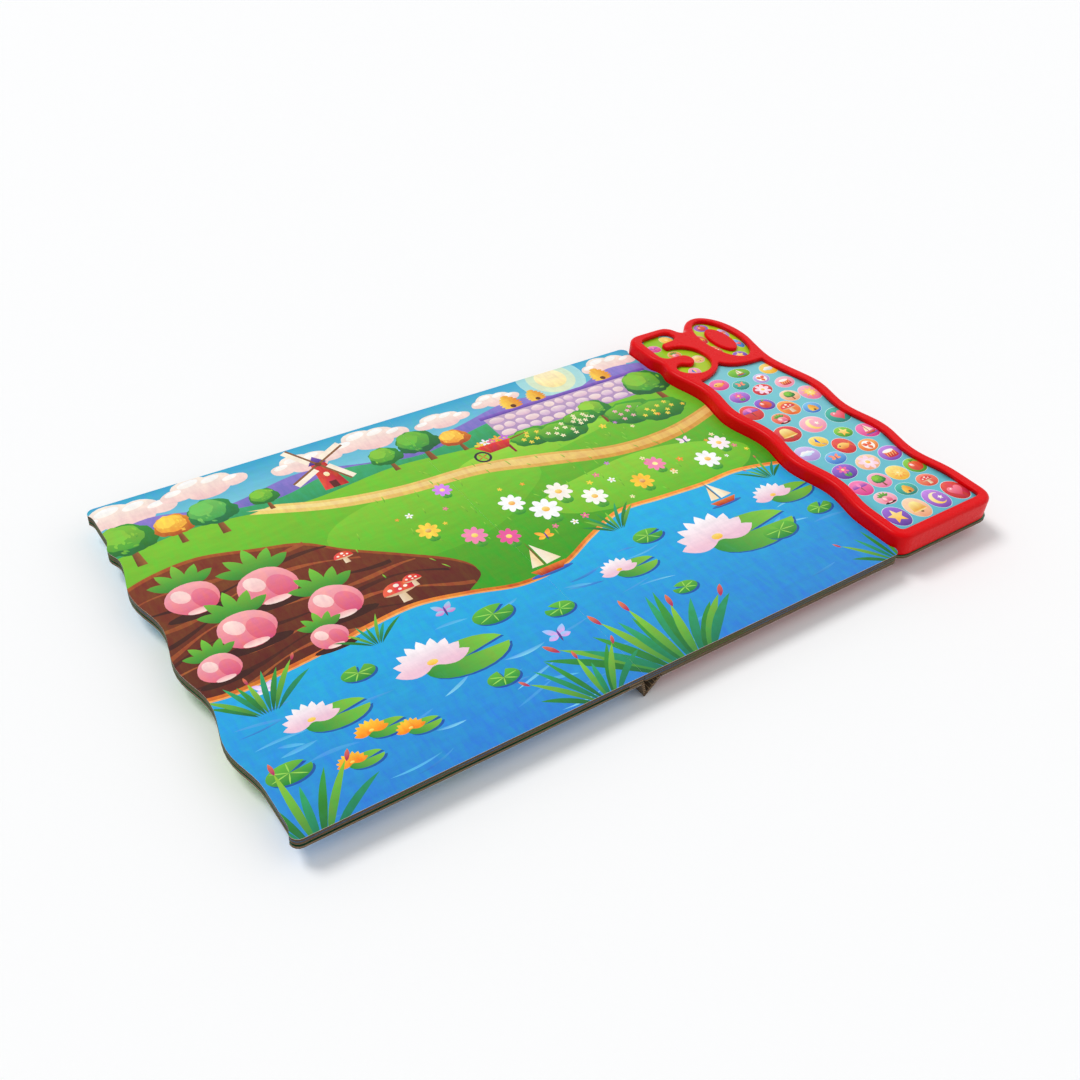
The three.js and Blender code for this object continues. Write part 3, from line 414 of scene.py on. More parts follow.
def mushroom(x, y, size, cap="d9232b", cap_light="f2604a"):
    """A stout stem, gills, and a domed cap with pale spots."""
    t = np.linspace(0, np.pi, 14)
    dome = np.stack([0.62 * np.cos(t), 0.55 + 0.52 * np.sin(t)], 1)
    stem = [(-0.17, 0), (0.19, 0), (0.13, 0.6), (-0.12, 0.6)]
    parts = [
        field(stem, "f6e2c4", "d9b48c", (-0.2, 0), (0.2, 0)),
        field(oval(0, 0.56, 0.6, 0.13, 0, 16), "e7c39a", "b98a62"),
        field(dome, cap, cap_light, (0.5, 0), (-0.5, 0)),
    ]
    for px, py, r in ((-0.3, 0.75, 0.09), (0.02, 0.9, 0.11), (0.3, 0.74, 0.08), (0.06, 0.68, 0.07)):
        parts.append(field(oval(px, py, r, r * 0.8, 0, 10), "fff4e4"))
    return placed(parts, x, y, size)


def lily(x, y, r, tint="ffffff", shade="f3c6d8"):
    """A water lily: three rings of pointed petals over a notched floating leaf."""
    t = np.linspace(0.35, 2 * np.pi - 0.1, 22)
    leaf = np.stack([0.9 + 1.25 * np.cos(t), -0.35 + 0.6 * np.sin(t)], 1)
    leaf = np.concatenate([leaf, [[0.8, -0.35]]])
    parts = [field(leaf + np.array([0.8, -1.2]) / r, "1c5aa8"),
             field(leaf, "2a8f3c", "8ace3e", (0, -1), (2, 0.3))]
    for count, size, lift in ((9, 1.0, 0.0), (7, 0.78, 0.14), (5, 0.52, 0.26)):
        for i in range(count):
            a = np.pi * (0.04 + 0.92 * i / (count - 1))
            petal = blade(0.1 * np.cos(a), lift * 0.4 - 0.25, size, 0.42 * size ** 0.5, a, 0.0)
            parts.append(field(petal, shade, tint, (0, -0.2), (0, 0.7)))
    parts.append(field(oval(0, -0.1, 0.16, 0.1, 0, 10), "ffc02c", "ffe27a"))
    return placed(parts, x, y, r)


def pad(x, y, r, turn=0.5):
    """A floating leaf: a flat oval with a notch and pale ribs."""
    t = np.linspace(turn + 0.25, turn + 2 * np.pi - 0.25, 22)
    shape = np.concatenate([np.stack([np.cos(t), 0.55 * np.sin(t)], 1), [[0, 0]]])
    parts = [field(shape + np.array([0.7, -1.3]) / r, "1f57a6"),
             field(shape, "1f8a3a", "6fc13c", (0, -0.5), (0, 0.6))]
    for i in range(5):
        a = turn + 1.1 + i
        rib = blade(0, 0, 0.5 + 0.4 * abs(np.cos(a)), 0.7 / r, np.arctan2(0.55 * np.sin(a), np.cos(a)))
        parts.append(field(rib, "9fdc5c"))
    return placed(parts, x, y, r)


def reeds(x, y, height, count, seed, warm=True):
    """A clump of long bent blades, some with brown or pink heads."""
    spots = np.random.default_rng(seed)
    parts = []
    for i in range(count):
        lean = 1.57 + (i / max(count - 1, 1) - 0.5) * -1.5 + spots.uniform(-0.08, 0.08)
        tall = spots.uniform(0.6, 1.0)
        tints = (("0f5a34", "3fa83a"), ("1b7a3a", "8fd23c"), ("0c6a52", "35b06a"))[i % 3]
        shape = blade((i - count / 2) * 0.035, 0, tall, 0.085, lean, (1.57 - lean) * -0.5)
        parts.append(field(shape, *tints, (0, 0), (0, tall)))
        if warm and i % 3 == 1:
            tip = shape[8]
            head = blade(tip[0], tip[1] - 0.03, 0.16, 0.05, lean, 0)
            parts.append(field(head, "b5305c", "f28a4c", tip, tip + (0, 0.14)))
    return placed(parts, x, y, height)


def windmill(x, y, size):
    """A tapered red tower with a dark cap and four pale lattice sails."""
    tower = [(-0.3, 0), (0.3, 0), (0.18, 1), (-0.18, 1)]
    parts = [
        field(tower, "b3131e", "e8413a", (0.3, 0), (-0.3, 0)),
        field([(-0.24, 1), (0.24, 1), (0, 1.32)], "4b2a86", "7a55b8"),
        field([(-0.09, 0), (0.09, 0), (0.09, 0.26), (-0.09, 0.26)], "5a1b14"),
        field(oval(0, 0.55, 0.07, 0.09, 0, 10), "ffe49a", "fff6d8"),
    ]
    for i in range(4):
        a = 0.5 + i * np.pi / 2
        way, side = np.array([np.cos(a), np.sin(a)]), np.array([-np.sin(a), np.cos(a)])
        for near, across, wide, tint in ((0.0, 0.0, 0.035, "8a5a34"), (0.2, 0.1, 0.075, "fff2dc")):
            middle = np.array([0, 0.98]) + side * across
            corners = [middle + way * near - side * wide, middle + way * 0.95 - side * wide,
                       middle + way * 0.95 + side * wide, middle + way * near + side * wide]
            parts.append(field(corners, tint))
    parts.append(field(oval(0, 0.98, 0.08, 0.08, 0, 12), "6a3a1c"))
    return placed(parts, x, y, size)


def wall(x, y, width, rows, seed):
    """A garden wall of rounded pink and lilac stones under a flat coping."""
    spots = np.random.default_rng(seed)
    right_end, top = x + width, y + rows * 7 + 1
    parts = [field([(x, y), (right_end, y), (right_end, top), (x, top)], "a888b8", "c7a8c8")]
    for row in range(rows):
        left = x + 1.2 - 3.5 * (row % 2)
        while left < right_end - 4:
            long = spots.uniform(7, 13)
            right = min(left + long, right_end - 0.8)
            tint = ("e9c3cc", "dcb2cc", "f3d6d2", "cda6cf")[int(spots.integers(4))]
            middle, half = (max(left, x) + right) / 2, (right - max(left, x)) / 2 - 0.5
            parts.append(field(oval(middle, y + 4 + row * 7, half, 3.0, 0, 14, 0.03, left), tint, "f8e4e0"))
            left += long
    coping = [(x - 2, top), (right_end + 2, top), (right_end + 2, top + 3.4), (x - 2, top + 3.4)]
    parts.append(field(coping, "5b3fa0", "8a63c4"))
    return parts


def hive(x, y, size):
    """A straw hive: six bands that narrow upwards, and a dark door."""
    parts = [field(oval(0, 0.1 + 0.155 * i, half, 0.11, 0, 16), "e8901c", "ffd04e", (0.4, 0), (-0.4, 0))
             for i, half in enumerate((0.46, 0.52, 0.52, 0.46, 0.36, 0.2))]
    parts.append(field(oval(0, 0.14, 0.13, 0.13, 0, 12), "5a2a10"))
    return placed(parts, x, y, size)


def barrow(x, y, size):
    """A red barrow full of flowers, with one spoked wheel and a leg."""
    parts = [field(oval(-0.62, 0, 0.25, 0.25, 0, 18), "2c2430"),
             field(oval(-0.62, 0, 0.18, 0.18, 0, 16), "8fce3c"),
             field(blade(0.2, 0.34, 0.95, 0.06, 0.12), "8a4a24"),
             field([(0.3, -0.22), (0.37, -0.22), (0.37, 0.2), (0.27, 0.2)], "8a1420")]
    parts += [field(blade(-0.62, 0, 0.2, 0.035, 0.4 + i * 1.57), "d8202c") for i in range(4)]
    for i, tint in enumerate(("ffd23c", "f7f2ff", "f06a9a", "ffb02c", "c86ae0")):
        parts += bloom(-0.4 + i * 0.2, 0.5 + 0.06 * (i % 2), 0.15, tint, "e08a1c", 5)
    tub = [(-0.62, 0.46), (0.52, 0.42), (0.3, 0.08), (-0.34, 0.06)]
    parts.append(field(tub, "a8101c", "ec3a34", (0, 0), (0, 0.5)))
    return placed(parts, x, y, size)


def boat(x, y, size):
    """A small boat with two cream sails and a red hull on its own reflection."""
    hull = [(-0.62, 0.14), (0.66, 0.16), (0.4, -0.12), (-0.4, -0.12)]
    parts = [
        field(oval(0, -0.12, 0.75, 0.1, 0, 18), "1f57a6", "2f79cf"),
        field(hull, "a3241c", "f07a2c", (0, -0.1), (0, 0.16)),
        field(blade(-0.02, 0.12, 1.3, 0.05, 1.57), "7a4a24"),
        field([(0.04, 0.24), (0.6, 0.3), (0.06, 1.25)], "fff6e0", "f2d8b0", (0, 0), (0.6, 0)),
        field([(-0.06, 0.26), (-0.46, 0.28), (-0.05, 1.05)], "ffdc9a", "fbf2dc", (0, 0), (-0.5, 0)),
    ]
    return placed(parts, x, y, size)


def flyer(x, y, size, tint, second):
    """An insect with four wings and a slim body."""
    parts = [field(blade(0, 0, long, 0.42, a, 0.2), tint, second)
             for a, long in ((0.7, 1.0), (2.2, 1.0), (-0.2, 0.75), (3.2, 0.75))]
    parts.append(field(blade(-0.05, -0.5, 1.0, 0.16, 1.4), "40306a", "7a4ab0"))
    return placed(parts, x, y, size)


scenery = windmill(-58, 208, 25) + tree(-176, 196, 24) + tree(-150, 203, 17, "b3541a", "f0962a", "ffd24e")
scenery += tree(-128, 200, 21, "1a6a3c", "2f9a4c", "74c85a") + tree(-98, 207, 13) + tree(-20, 205, 16)
scenery += tree(4, 204, 21, "165c34", "2f8f3a", "6fbe3c") + tree(26, 203, 15, "a8461c", "ee8a2a", "ffcf52")
scenery += wall(52, 203, 128, 3, 5) + hive(78, 228, 15) + hive(97, 228, 13) + hive(150, 228, 15)
scenery += tree(172, 186, 26, "155a30", "2f8f34", "86c93a") + tree(122, 186, 17, "1d6b2c", "3c9a30", "9ad13c")
for k, (x, y, r) in enumerate(((70, 196, 13), (90, 192, 15), (142, 188, 17), (160, 182, 16), (108, 198, 11))):
    scenery.append(field(oval(x, y, r * 1.2, r * 0.72, 0, 32, 0.05, k, 7), "17642c", "4aa82e"))
    scenery.append(field(oval(x - r * 0.2, y + r * 0.16, r * 0.9, r * 0.46, 0, 26, 0.06, k + 3, 6),
        "2f8a2c", "7cc234"))
    for i in range(9):
        a = i * 2.4 + k
        spot = (x + r * 0.95 * np.cos(a) * (0.35 + 0.07 * i), y + r * 0.5 * np.sin(a) * (0.35 + 0.07 * i))
        scenery += bloom(*spot, 1.7, ("ffe24a", "fff6d0", "f7a8c8")[k % 3], "f0a020", 5)
scenery += barrow(44, 192, 22)
for x, y, r in ((-164, 160, 13), (-128, 150, 15), (-150, 126, 14), (-104, 122, 13.5), (-172, 108, 10),
        (-118, 101, 9)):
    scenery += turnip(x, y, r, x)
for x, y, size in ((-72, 104, 15), (-62, 112, 9), (-84, 146, 9)):
    scenery += mushroom(x, y, size)
for k in range(60):
    x, y = rng.uniform(-60, 182), rng.uniform(112, 184)
    if 14 < y + 0.12 * x - 150 < 40 or (x < 20 and y < 150 - x * 0.9 - 30):
        continue
    tint = ("ffffff", "ffd83c", "f06aa0", "ff8a2c", "c86ae0", "fff2c0")[k % 6]
    scenery += bloom(x, y, rng.uniform(1.3, 2.6), tint, "f2a11c", 5, x)
for k in range(70):
    x, y = rng.uniform(-80, 185), rng.uniform(108, 200)
    scenery.insert(0, field(blade(x, y, rng.uniform(3, 8), 0.8, rng.uniform(1.1, 2.0), 0.3), "3f9420",
        "a5dc46"))
for x, y, r, petal, heart in (
    (34, 132, 9, "ffffff", "ffb41c"), (50, 142, 8, "fff8ec", "ffb41c"), (20, 146, 7.5, "ffffff", "ff9c1c"),
    (66, 128, 7.5, "fffdf4", "ffb41c"), (-14, 132, 7, "f58ab4", "ffd23c"), (2, 122, 6.5, "ee5c9c", "ffd23c"),
    (100, 126, 7, "ffc83c", "c8601c"), (-34, 148, 6.5, "ffd84a", "c8601c"),
    (118, 136, 6.5, "f58ab4", "fff0a0"),
    (150, 124, 8, "ffffff", "ffb41c"), (168, 134, 7, "fff4f8", "ffb41c"), (-8, 176, 5.5, "d88af0", "ffe27a"),
):
    scenery += flower(x, y, r, petal, heart, r * 1.5, count=8)
for x, y, r in ((-84, 62, 19), (104, 66, 24), (-150, 58, 13), (160, 78, 13), (38, 70, 11)):
    scenery += lily(x, y, r)
for x, y, r, turn in ((-40, 74, 12, 0.6), (-8, 60, 9, 2.4), (-118, 72, 9, 1.2), (70, 84, 10, 0.2),
        (140, 50, 12, 2.0),
                      (176, 54, 9, 1.0), (-172, 34, 11, 0.4), (60, 40, 8, 2.6), (-60, 34, 9, 1.4)):
    scenery += pad(x, y, r, turn)
for x, y, r in ((-130, 38, 8), (-114, 30, 7), (-146, 26, 7)):
    scenery += lily(x, y, r, "ffd23c", "ff8a1c")
scenery += boat(6, 88, 18) + boat(130, 86, 15)
for x, y, size, a, b in ((-60, 88, 8, "e86ac8", "7fd8f0"), (20, 112, 7, "ffd23c", "ff8a3c"),
        (-20, 44, 9, "f0a0e8", "8ad0ff"),
                         (-160, 84, 7, "ffffff", "d8b0f0"), (150, 146, 6, "ffffff", "ffd0e0")):
    scenery += flyer(x, y, size, a, b)
scenery += reeds(-164, 70, 34, 9, 3) + reeds(-100, 84, 22, 7, 5, False) + reeds(60, 96, 26, 8, 6, False)
scenery += reeds(26, -6, 62, 15, 8) + reeds(-24, -4, 40, 9, 9) + reeds(-178, -8, 46, 9, 10) + reeds(172, 90,
    22, 7, 12)
scenery += reeds(182, -4, 34, 7, 14)

picture = sky + sun_glow + clouds + far_hills + meadow + footpath + ploughed + pond + scenery

PAPER = 0.12
for node, body, sheet_name in (("right_pages", "back_half", "page_sheet_right"),
                               ("left_pages", "front_half", "page_sheet_left")):
    outline = node_loops(node, 0.0, True)[0]
    outline[np.abs(outline[:, 0]) < 0.3, 0] *= 0.13
    low, high = outline.min(axis=0), outline.max(axis=0)
    near = [layer for layer in picture
            if np.all(layer[0].max(axis=0) > low - 1) and np.all(layer[0].min(axis=0) < high + 1)]
    base = field([low - 5, (high[0] + 5, low[1] - 5), high + 5, (low[0] - 5, high[1] + 5)], "20a0d0")
    printed_sheet(sheet_name, [outline], [base] + near, PAPER, 0.0, body)


# Coated print: soft gloss over ink, with faint brush strokes, paper fibre and a little wear
def open_group(name, inputs):
    """A node group with its inputs, its input node and a place in object space."""
    group = bpy.data.node_groups.new(name, "ShaderNodeTree")
    for label, value in inputs:
        kind = "NodeSocketFloat" if isinstance(value, float) else "NodeSocketColor"
        group.interface.new_socket(name=label, in_out="INPUT", socket_type=kind).default_value = value
    place = group.nodes.new("ShaderNodeTexCoord").outputs["Object"]
    return group, group.nodes.new("NodeGroupInput"), place


def close_group(group, **results):
    """Gives a node group one output for each of the nodes named."""
    for label in results:
        kind = "NodeSocketColor" if label == "Colour" else "NodeSocketFloat"
        group.interface.new_socket(name=label, in_out="OUTPUT", socket_type=kind)
    out = group.nodes.new("NodeGroupOutput")
    for label, node in results.items():
        group.links.new(node.outputs[0], out.inputs[label])
    return group


def wire(tree, kind, settings=None, **inputs):
    """A shader node with settings. Its inputs are values, outputs, or nodes that give their first output."""
    node = tree.nodes.new("ShaderNode" + kind)
    for key, value in (settings or {}).items():
        setattr(node, key, value)
    for key, value in inputs.items():
        port = node.inputs[int(key[1:]) if key[0] == "_" and key[1:].isdigit() else key.replace("_", " ")]
        value = value.outputs[0] if hasattr(value, "outputs") else value
        if hasattr(value, "is_output"):
            tree.links.new(value, port)
        else:
            port.default_value = value
    return node


def ranged(tree, value, *spots):
    """A Map Range node: two values in, and the two values that they become."""
    return wire(tree, "MapRange", Value=value, **{f"_{i + 1}": spot for i, spot in enumerate(spots)})


def brush_group():
    """Brushwork: two long-grained noises shift the ink's value, and a fine one gives the fibre height."""
    group, into, where = open_group("Brushwork",
        (("Ink", (0.5, 0.5, 0.5, 1)), ("Strength", 0.2), ("Grain", 1.0)))
    across = wire(group, "Mapping", Vector=where, Scale=(60, 240, 60), Rotation=(0, 0, 0.35))
    along = wire(group, "Mapping", Vector=where, Scale=(320, 90, 90), Rotation=(0, 0, -0.5))
    one = wire(group, "TexNoise", Vector=across, Scale=1.0, Detail=5.0, Roughness=0.65)
    two = wire(group, "TexNoise", Vector=along, Scale=1.0, Detail=4.0, Roughness=0.6)
    fine = wire(group, "TexNoise", Vector=where, Scale=2600.0, Detail=2.0, Roughness=0.5)
    both = wire(group, "Math", {"operation": "ADD"}, _0=one.outputs["Fac"], _1=two.outputs["Fac"])
    centred = wire(group, "Math", {"operation": "SUBTRACT"}, _0=both, _1=1.0)
    scaled = wire(group, "Math", {"operation": "MULTIPLY"}, _0=centred,
                  _1=into.outputs["Strength"])
    value = wire(group, "Math", {"operation": "ADD"}, _0=scaled, _1=1.0)
    hue = ranged(group, two.outputs["Fac"], 0.3, 0.7, 0.485, 0.515)
    shade = wire(group, "HueSaturation", Hue=hue, Saturation=1.0, Value=value,
                 Color=into.outputs["Ink"])
    rough = ranged(group, one.outputs["Fac"], 0.2, 0.8, 0.30, 0.44)
    height = wire(group, "Math", {"operation": "MULTIPLY"}, _0=fine.outputs["Fac"],
                  _1=into.outputs["Grain"])
    return close_group(group, Colour=shade, Roughness=rough, Height=height)


BRUSHWORK = brush_group()


def new_material(name):
    """An empty node material and its Principled shader."""
    material = bpy.data.materials.new(name)
    material.use_nodes = True
    return material, material.node_tree, material.node_tree.nodes["Principled BSDF"]


def bumped(tree, shader, height, distance, strength=1.0):
    """Feeds a height through a Bump node to the shader's normal."""
    bump = wire(tree, "Bump", Height=height, Distance=distance, Strength=strength)
    tree.links.new(bump.outputs[0], shader.inputs["Normal"])


def dress(piece, material):
    """Puts one material on a whole object."""
    piece.data.materials.clear()
    piece.data.materials.append(material)


def print_material(name, strength, coat):
    """Ink from the Paint attribute, worked by the brush group, under a thin clear coat."""
    material, tree, shader = new_material(name)
    colour = wire(tree, "VertexColor", {"layer_name": "Paint"})
    work = wire(tree, "Group", {"node_tree": BRUSHWORK}, Ink=colour.outputs["Color"], Strength=strength)
    tree.links.new(work.outputs["Colour"], shader.inputs["Base Color"])
    tree.links.new(work.outputs["Roughness"], shader.inputs["Roughness"])
    bumped(tree, shader, work.outputs["Height"], 0.00002)
    shader.inputs["Specular IOR Level"].default_value = 0.2
    shader.inputs["Coat Weight"].default_value = coat
    shader.inputs["Coat Roughness"].default_value = 0.22
    return material


page_print = print_material("page_print", 0.3, 0.02)
for sheet_name in ("page_sheet_right", "page_sheet_left"):
    dress(bpy.data.objects[sheet_name], page_print)


# Board: grey-brown core between paler liners, cut clean at the edges. Level faces are printed paper.
def board_material(name, top, leaf, offset, face_a, face_b):
    """Edge bands that repeat every leaf below top; level faces mix two inks by broad noise."""
    material, tree, shader = new_material(name)
    place = wire(tree, "TexCoord")
    split = wire(tree, "SeparateXYZ", Vector=place.outputs["Object"])
    down = wire(tree, "Math", {"operation": "SUBTRACT"}, _0=top, _1=split.outputs["Z"])
    leaves = wire(tree, "Math", {"operation": "DIVIDE"}, _0=down, _1=leaf)
    shift = wire(tree, "Math", {"operation": "ADD"}, _0=leaves, _1=offset)
    part = wire(tree, "Math", {"operation": "FRACT"}, _0=shift)
    ramp = wire(tree, "ValToRGB", Fac=part)
    ramp.color_ramp.interpolation = "LINEAR"
    stops = ((0.0, "c8b48c"), (0.05, "a08458"), (0.12, "5a432c"), (0.46, "46331f"), (0.5, "7c6444"),
             (0.56, "4b3822"), (0.88, "553f29"), (0.95, "9a7c50"), (1.0, "b08050"))
    elements = ramp.color_ramp.elements
    while len(elements) < len(stops):
        elements.new(0.5)
    for element, (spot, code) in zip(elements, stops):
        element.position = spot
        element.color = (*ink(code), 1)
    fibre_map = wire(tree, "Mapping", Vector=place.outputs["Object"], Scale=(180, 180, 2600))
    fibre = wire(tree, "TexNoise", Vector=fibre_map, Scale=1.0, Detail=6.0, Roughness=0.7)
    tone = ranged(tree, fibre.outputs["Fac"], 0.25, 0.75, 0.62, 1.25)
    edge = wire(tree, "HueSaturation", Hue=0.5, Saturation=0.95, Value=tone, Color=ramp)
    broad = wire(tree, "TexNoise", Vector=place.outputs["Object"], Scale=14.0, Detail=3.0)
    pick = wire(tree, "MapRange", Value=broad.outputs["Fac"], _1=0.44, _2=0.56)
    inks = wire(tree, "Mix", {"data_type": "RGBA"}, Factor=pick, _6=(*ink(face_a), 1),
                _7=(*ink(face_b), 1))
    facing = wire(tree, "NewGeometry")
    lie = wire(tree, "SeparateXYZ", Vector=facing.outputs["Normal"])
    level = wire(tree, "Math", {"operation": "ABSOLUTE"}, _0=lie.outputs["Z"])
    flat = wire(tree, "Math", {"operation": "GREATER_THAN"}, _0=level, _1=0.7)
    whole = wire(tree, "Mix", {"data_type": "RGBA"}, Factor=flat, _6=edge,
                 _7=inks.outputs[2])
    tree.links.new(whole.outputs[2], shader.inputs["Base Color"])
    rough = wire(tree, "MapRange", Value=flat, _3=0.85, _4=0.4)
    tree.links.new(rough.outputs[0], shader.inputs["Roughness"])
    bumped(tree, shader, fibre.outputs["Fac"], 0.00012)
    return material


LEAF = 0.0017
leaf_board = board_material("leaf_board", GUTTER[2], LEAF, 0.0, "2f9fd0", "5cb32c")
for node in ("right_pages", "left_pages"):
    dress(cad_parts[node], leaf_board)
cover_board = board_material("cover_board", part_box("back_cover")[1][2], 0.0016, 0.0, "16502c", "1d6a48")
for node in ("back_cover", "front_cover", "spine_panel", "hinge_strip"):
    dress(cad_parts[node], cover_board)


# Module frame: a red moulding with a soft-edged rim round three windows. Its outline is a wave on
# both sides, and the upper end follows the figures 5 and 0.
def even_loop(loop, spacing, rounds):
    """A closed line at an even spacing whose corners are eased by rounds of neighbour averaging."""
    closed = np.concatenate([loop, loop[:1]])
    run = np.concatenate([[0], np.cumsum(np.linalg.norm(np.diff(closed, axis=0), axis=1))])
    count = int(run[-1] / spacing)
    s = np.arange(count) * run[-1] / count
    line = np.stack([np.interp(s, run, closed[:, 0]), np.interp(s, run, closed[:, 1])], 1)
    for _ in range(rounds):
        line = (np.roll(line, 1, axis=0) + 2 * line + np.roll(line, -1, axis=0)) / 4
    return line


def pushed(loop, distance):
    """The loop moved to its right by a distance, square to its own direction."""
    way = np.roll(loop, -1, axis=0) - np.roll(loop, 1, axis=0)
    way /= np.linalg.norm(way, axis=1)[:, None]
    return loop + distance * np.stack([way[:, 1], -way[:, 0]], 1)


def anticlockwise(loop):
    """The loop with its inside on the left."""
    x, y = loop[:, 0], loop[:, 1]
    return loop if (x * np.roll(y, -1) - y * np.roll(x, -1)).sum() > 0 else loop[::-1]


class Shell:
    """Corners and faces gathered ring by ring."""

    def __init__(self):
        self.corners, self.faces = [], []

    def ring(self, loop, z):
        """Adds a closed ring at a height and returns its corner numbers."""
        first = len(self.corners)
        self.corners += [(x, y, z) for x, y in loop]
        return np.arange(first, first + len(loop))

    def strip(self, lower, upper, flip=False):
        """Quads between two rings of equal length."""
        quads = np.column_stack([lower, np.roll(lower, -1), np.roll(upper, -1), upper])
        self.faces += (quads[:, ::-1] if flip else quads).tolist()

    def plate(self, rings, up):
        """Triangles between an outer ring and the rings inside it, using the rings' own corners."""
        spots = np.array(self.corners)
        loops = [spots[ring][:, :2] for ring in rings]
        flat, faces, middles = triangles_of(loops)
        keep = inside(middles, loops[0])
        for loop in loops[1:]:
            keep &= ~inside(middles, loop)
        own = np.concatenate(rings)
        gaps = ((flat[:, None] - spots[own][None, :, :2]) ** 2).sum(axis=2)
        number = own[gaps.argmin(axis=1)]
        faces = number[faces[keep]]
        self.faces += (faces if up else faces[:, ::-1]).tolist()


frame_low, frame_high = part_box("module_frame")
FRAME_FOOT = (frame_low[2] - GUTTER[2]) * 1000
FRAME_TOP = (frame_high[2] - GUTTER[2]) * 1000
TOP_PLATE = 2.8
PLATE_UNDER = FRAME_TOP - TOP_PLATE
rim_loop = anticlockwise(node_loops("module_frame", FRAME_FOOT, False)[0])
window_loops = [anticlockwise(loop) for loop in node_loops("module_frame", FRAME_TOP, True)[1:4]]
rim = even_loop(rim_loop, 1.0, 8)
windows = [even_loop(loop, 0.8, 5) for loop in window_loops]
moulding = Shell()
RIM_ROUND, RIM_LEAN, WINDOW_ROUND, WALL = 2.6, 0.9, 1.0, 1.8
turn = np.linspace(0, np.pi / 2, 8)
outer_rings = [moulding.ring(rim, FRAME_FOOT), moulding.ring(pushed(rim, 0.0), FRAME_FOOT + 0.4)]
for a in turn:
    inset, drop = RIM_ROUND * (1 - np.cos(a)) * RIM_LEAN, RIM_ROUND * (1 - np.sin(a))
    outer_rings.append(moulding.ring(pushed(rim, -inset), FRAME_TOP - drop))
outer_rings.append(moulding.ring(pushed(rim, -RIM_ROUND * RIM_LEAN - 0.3), FRAME_TOP))
for lower, upper in zip(outer_rings, outer_rings[1:]):
    moulding.strip(lower, upper)
top_rings, under_rings = [outer_rings[-1]], []
for window in windows:
    rings = [moulding.ring(window, PLATE_UNDER)]
    for a in turn:
        inset, drop = WINDOW_ROUND * (1 - np.cos(a)), WINDOW_ROUND * (1 - np.sin(a))
        rings.append(moulding.ring(pushed(window, inset), FRAME_TOP - drop))
    rings.append(moulding.ring(pushed(window, WINDOW_ROUND + 0.2), FRAME_TOP))
    for lower, upper in zip(rings, rings[1:]):
        moulding.strip(lower, upper, flip=True)
    under_rings.append(rings[0])
    top_rings.append(rings[-1])
inner = pushed(rim, -WALL)
inner_rings = [moulding.ring(inner, FRAME_FOOT), moulding.ring(inner, PLATE_UNDER)]
moulding.strip(inner_rings[0], inner_rings[1], flip=True)
moulding.strip(outer_rings[0], inner_rings[0], flip=True)
moulding.plate(top_rings, True)
moulding.plate([inner_rings[1]] + under_rings, False)
module_frame = solid_mesh("module_rim", moulding.corners, moulding.faces, "back_half")
module_frame.data.shade_smooth()
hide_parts("module_frame")


def moulded_group():
    """Moulded surface: very fine grain, slow flow ripples and faint handling marks."""
    group, into, where = open_group("Moulded",
        (("Tint", (0.5, 0.5, 0.5, 1)), ("Gloss", 0.3), ("Grain", 1500.0)))
    grain = wire(group, "TexNoise", Vector=where, Scale=into.outputs["Grain"], Detail=2.0)
    flow = wire(group, "TexNoise", Vector=where, Scale=26.0, Detail=3.0)
    marks = wire(group, "TexNoise", Vector=where, Scale=95.0, Detail=6.0, Roughness=0.75)
    tone = ranged(group, flow.outputs["Fac"], 0.3, 0.7, 0.98, 1.02)
    tinted = wire(group, "HueSaturation", Hue=0.5, Saturation=1.0, Value=tone,
                  Color=into.outputs["Tint"])
    wear = ranged(group, marks.outputs["Fac"], 0.4, 0.8, 0.0, 0.05)
    rough = wire(group, "Math", {"operation": "ADD"}, _0=into.outputs["Gloss"], _1=wear)
    soft = wire(group, "Math", {"operation": "MULTIPLY"}, _0=flow.outputs["Fac"], _1=2.0)
    height = wire(group, "Math", {"operation": "ADD"}, _0=grain.outputs["Fac"], _1=soft)
    return close_group(group, Colour=tinted, Roughness=rough, Height=height)


MOULDED = moulded_group()


def moulded(name, code, gloss, grain=1500.0, depth=0.00001, specular=0.5):
    """A moulded plastic of one colour."""
    material, tree, shader = new_material(name)
    work = wire(tree, "Group", {"node_tree": MOULDED}, Tint=(*ink(code), 1), Gloss=gloss, Grain=grain)
    tree.links.new(work.outputs["Colour"], shader.inputs["Base Color"])
    tree.links.new(work.outputs["Roughness"], shader.inputs["Roughness"])
    shader.inputs["Specular IOR Level"].default_value = specular
    bumped(tree, shader, work.outputs["Height"], depth)
    return material


red_plastic = moulded("red_plastic", "e4020b", 0.26, 2500.0, 0.000003, 0.1)
dress(module_frame, red_plastic)
dress(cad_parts["zero_island"], red_plastic)
black_plastic = moulded("black_plastic", "26272a", 0.45, 2400.0, 0.00002)
for node in ("module_base", "battery_door", "support_plate"):
    dress(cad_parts[node], black_plastic)


# Button film: one printed sheet behind the windows, with an oval pressed up over every switch. Blue
# in the long window and lime in the figures; each oval has its own ground and its own small picture.
film_low, film_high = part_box("button_film")
BUTTON_TOP = (film_high[2] - GUTTER[2]) * 1000
BUTTON_RISE = 0.2
FILM_LOW = (film_low[2] - GUTTER[2]) * 1000
film_outlines = [anticlockwise(loop) for loop in node_loops("button_film", FILM_LOW, False)]
ovals = []
for loop in node_loops("button_film", BUTTON_TOP, True):
    middle = loop.mean(axis=0)
    spread, axes = np.linalg.eigh((loop - middle).T @ (loop - middle) / len(loop))
    ovals.append((middle, np.sqrt(2 * spread), axes))
ovals.sort(key=lambda item: (round(item[0][1] / 4), item[0][0]))


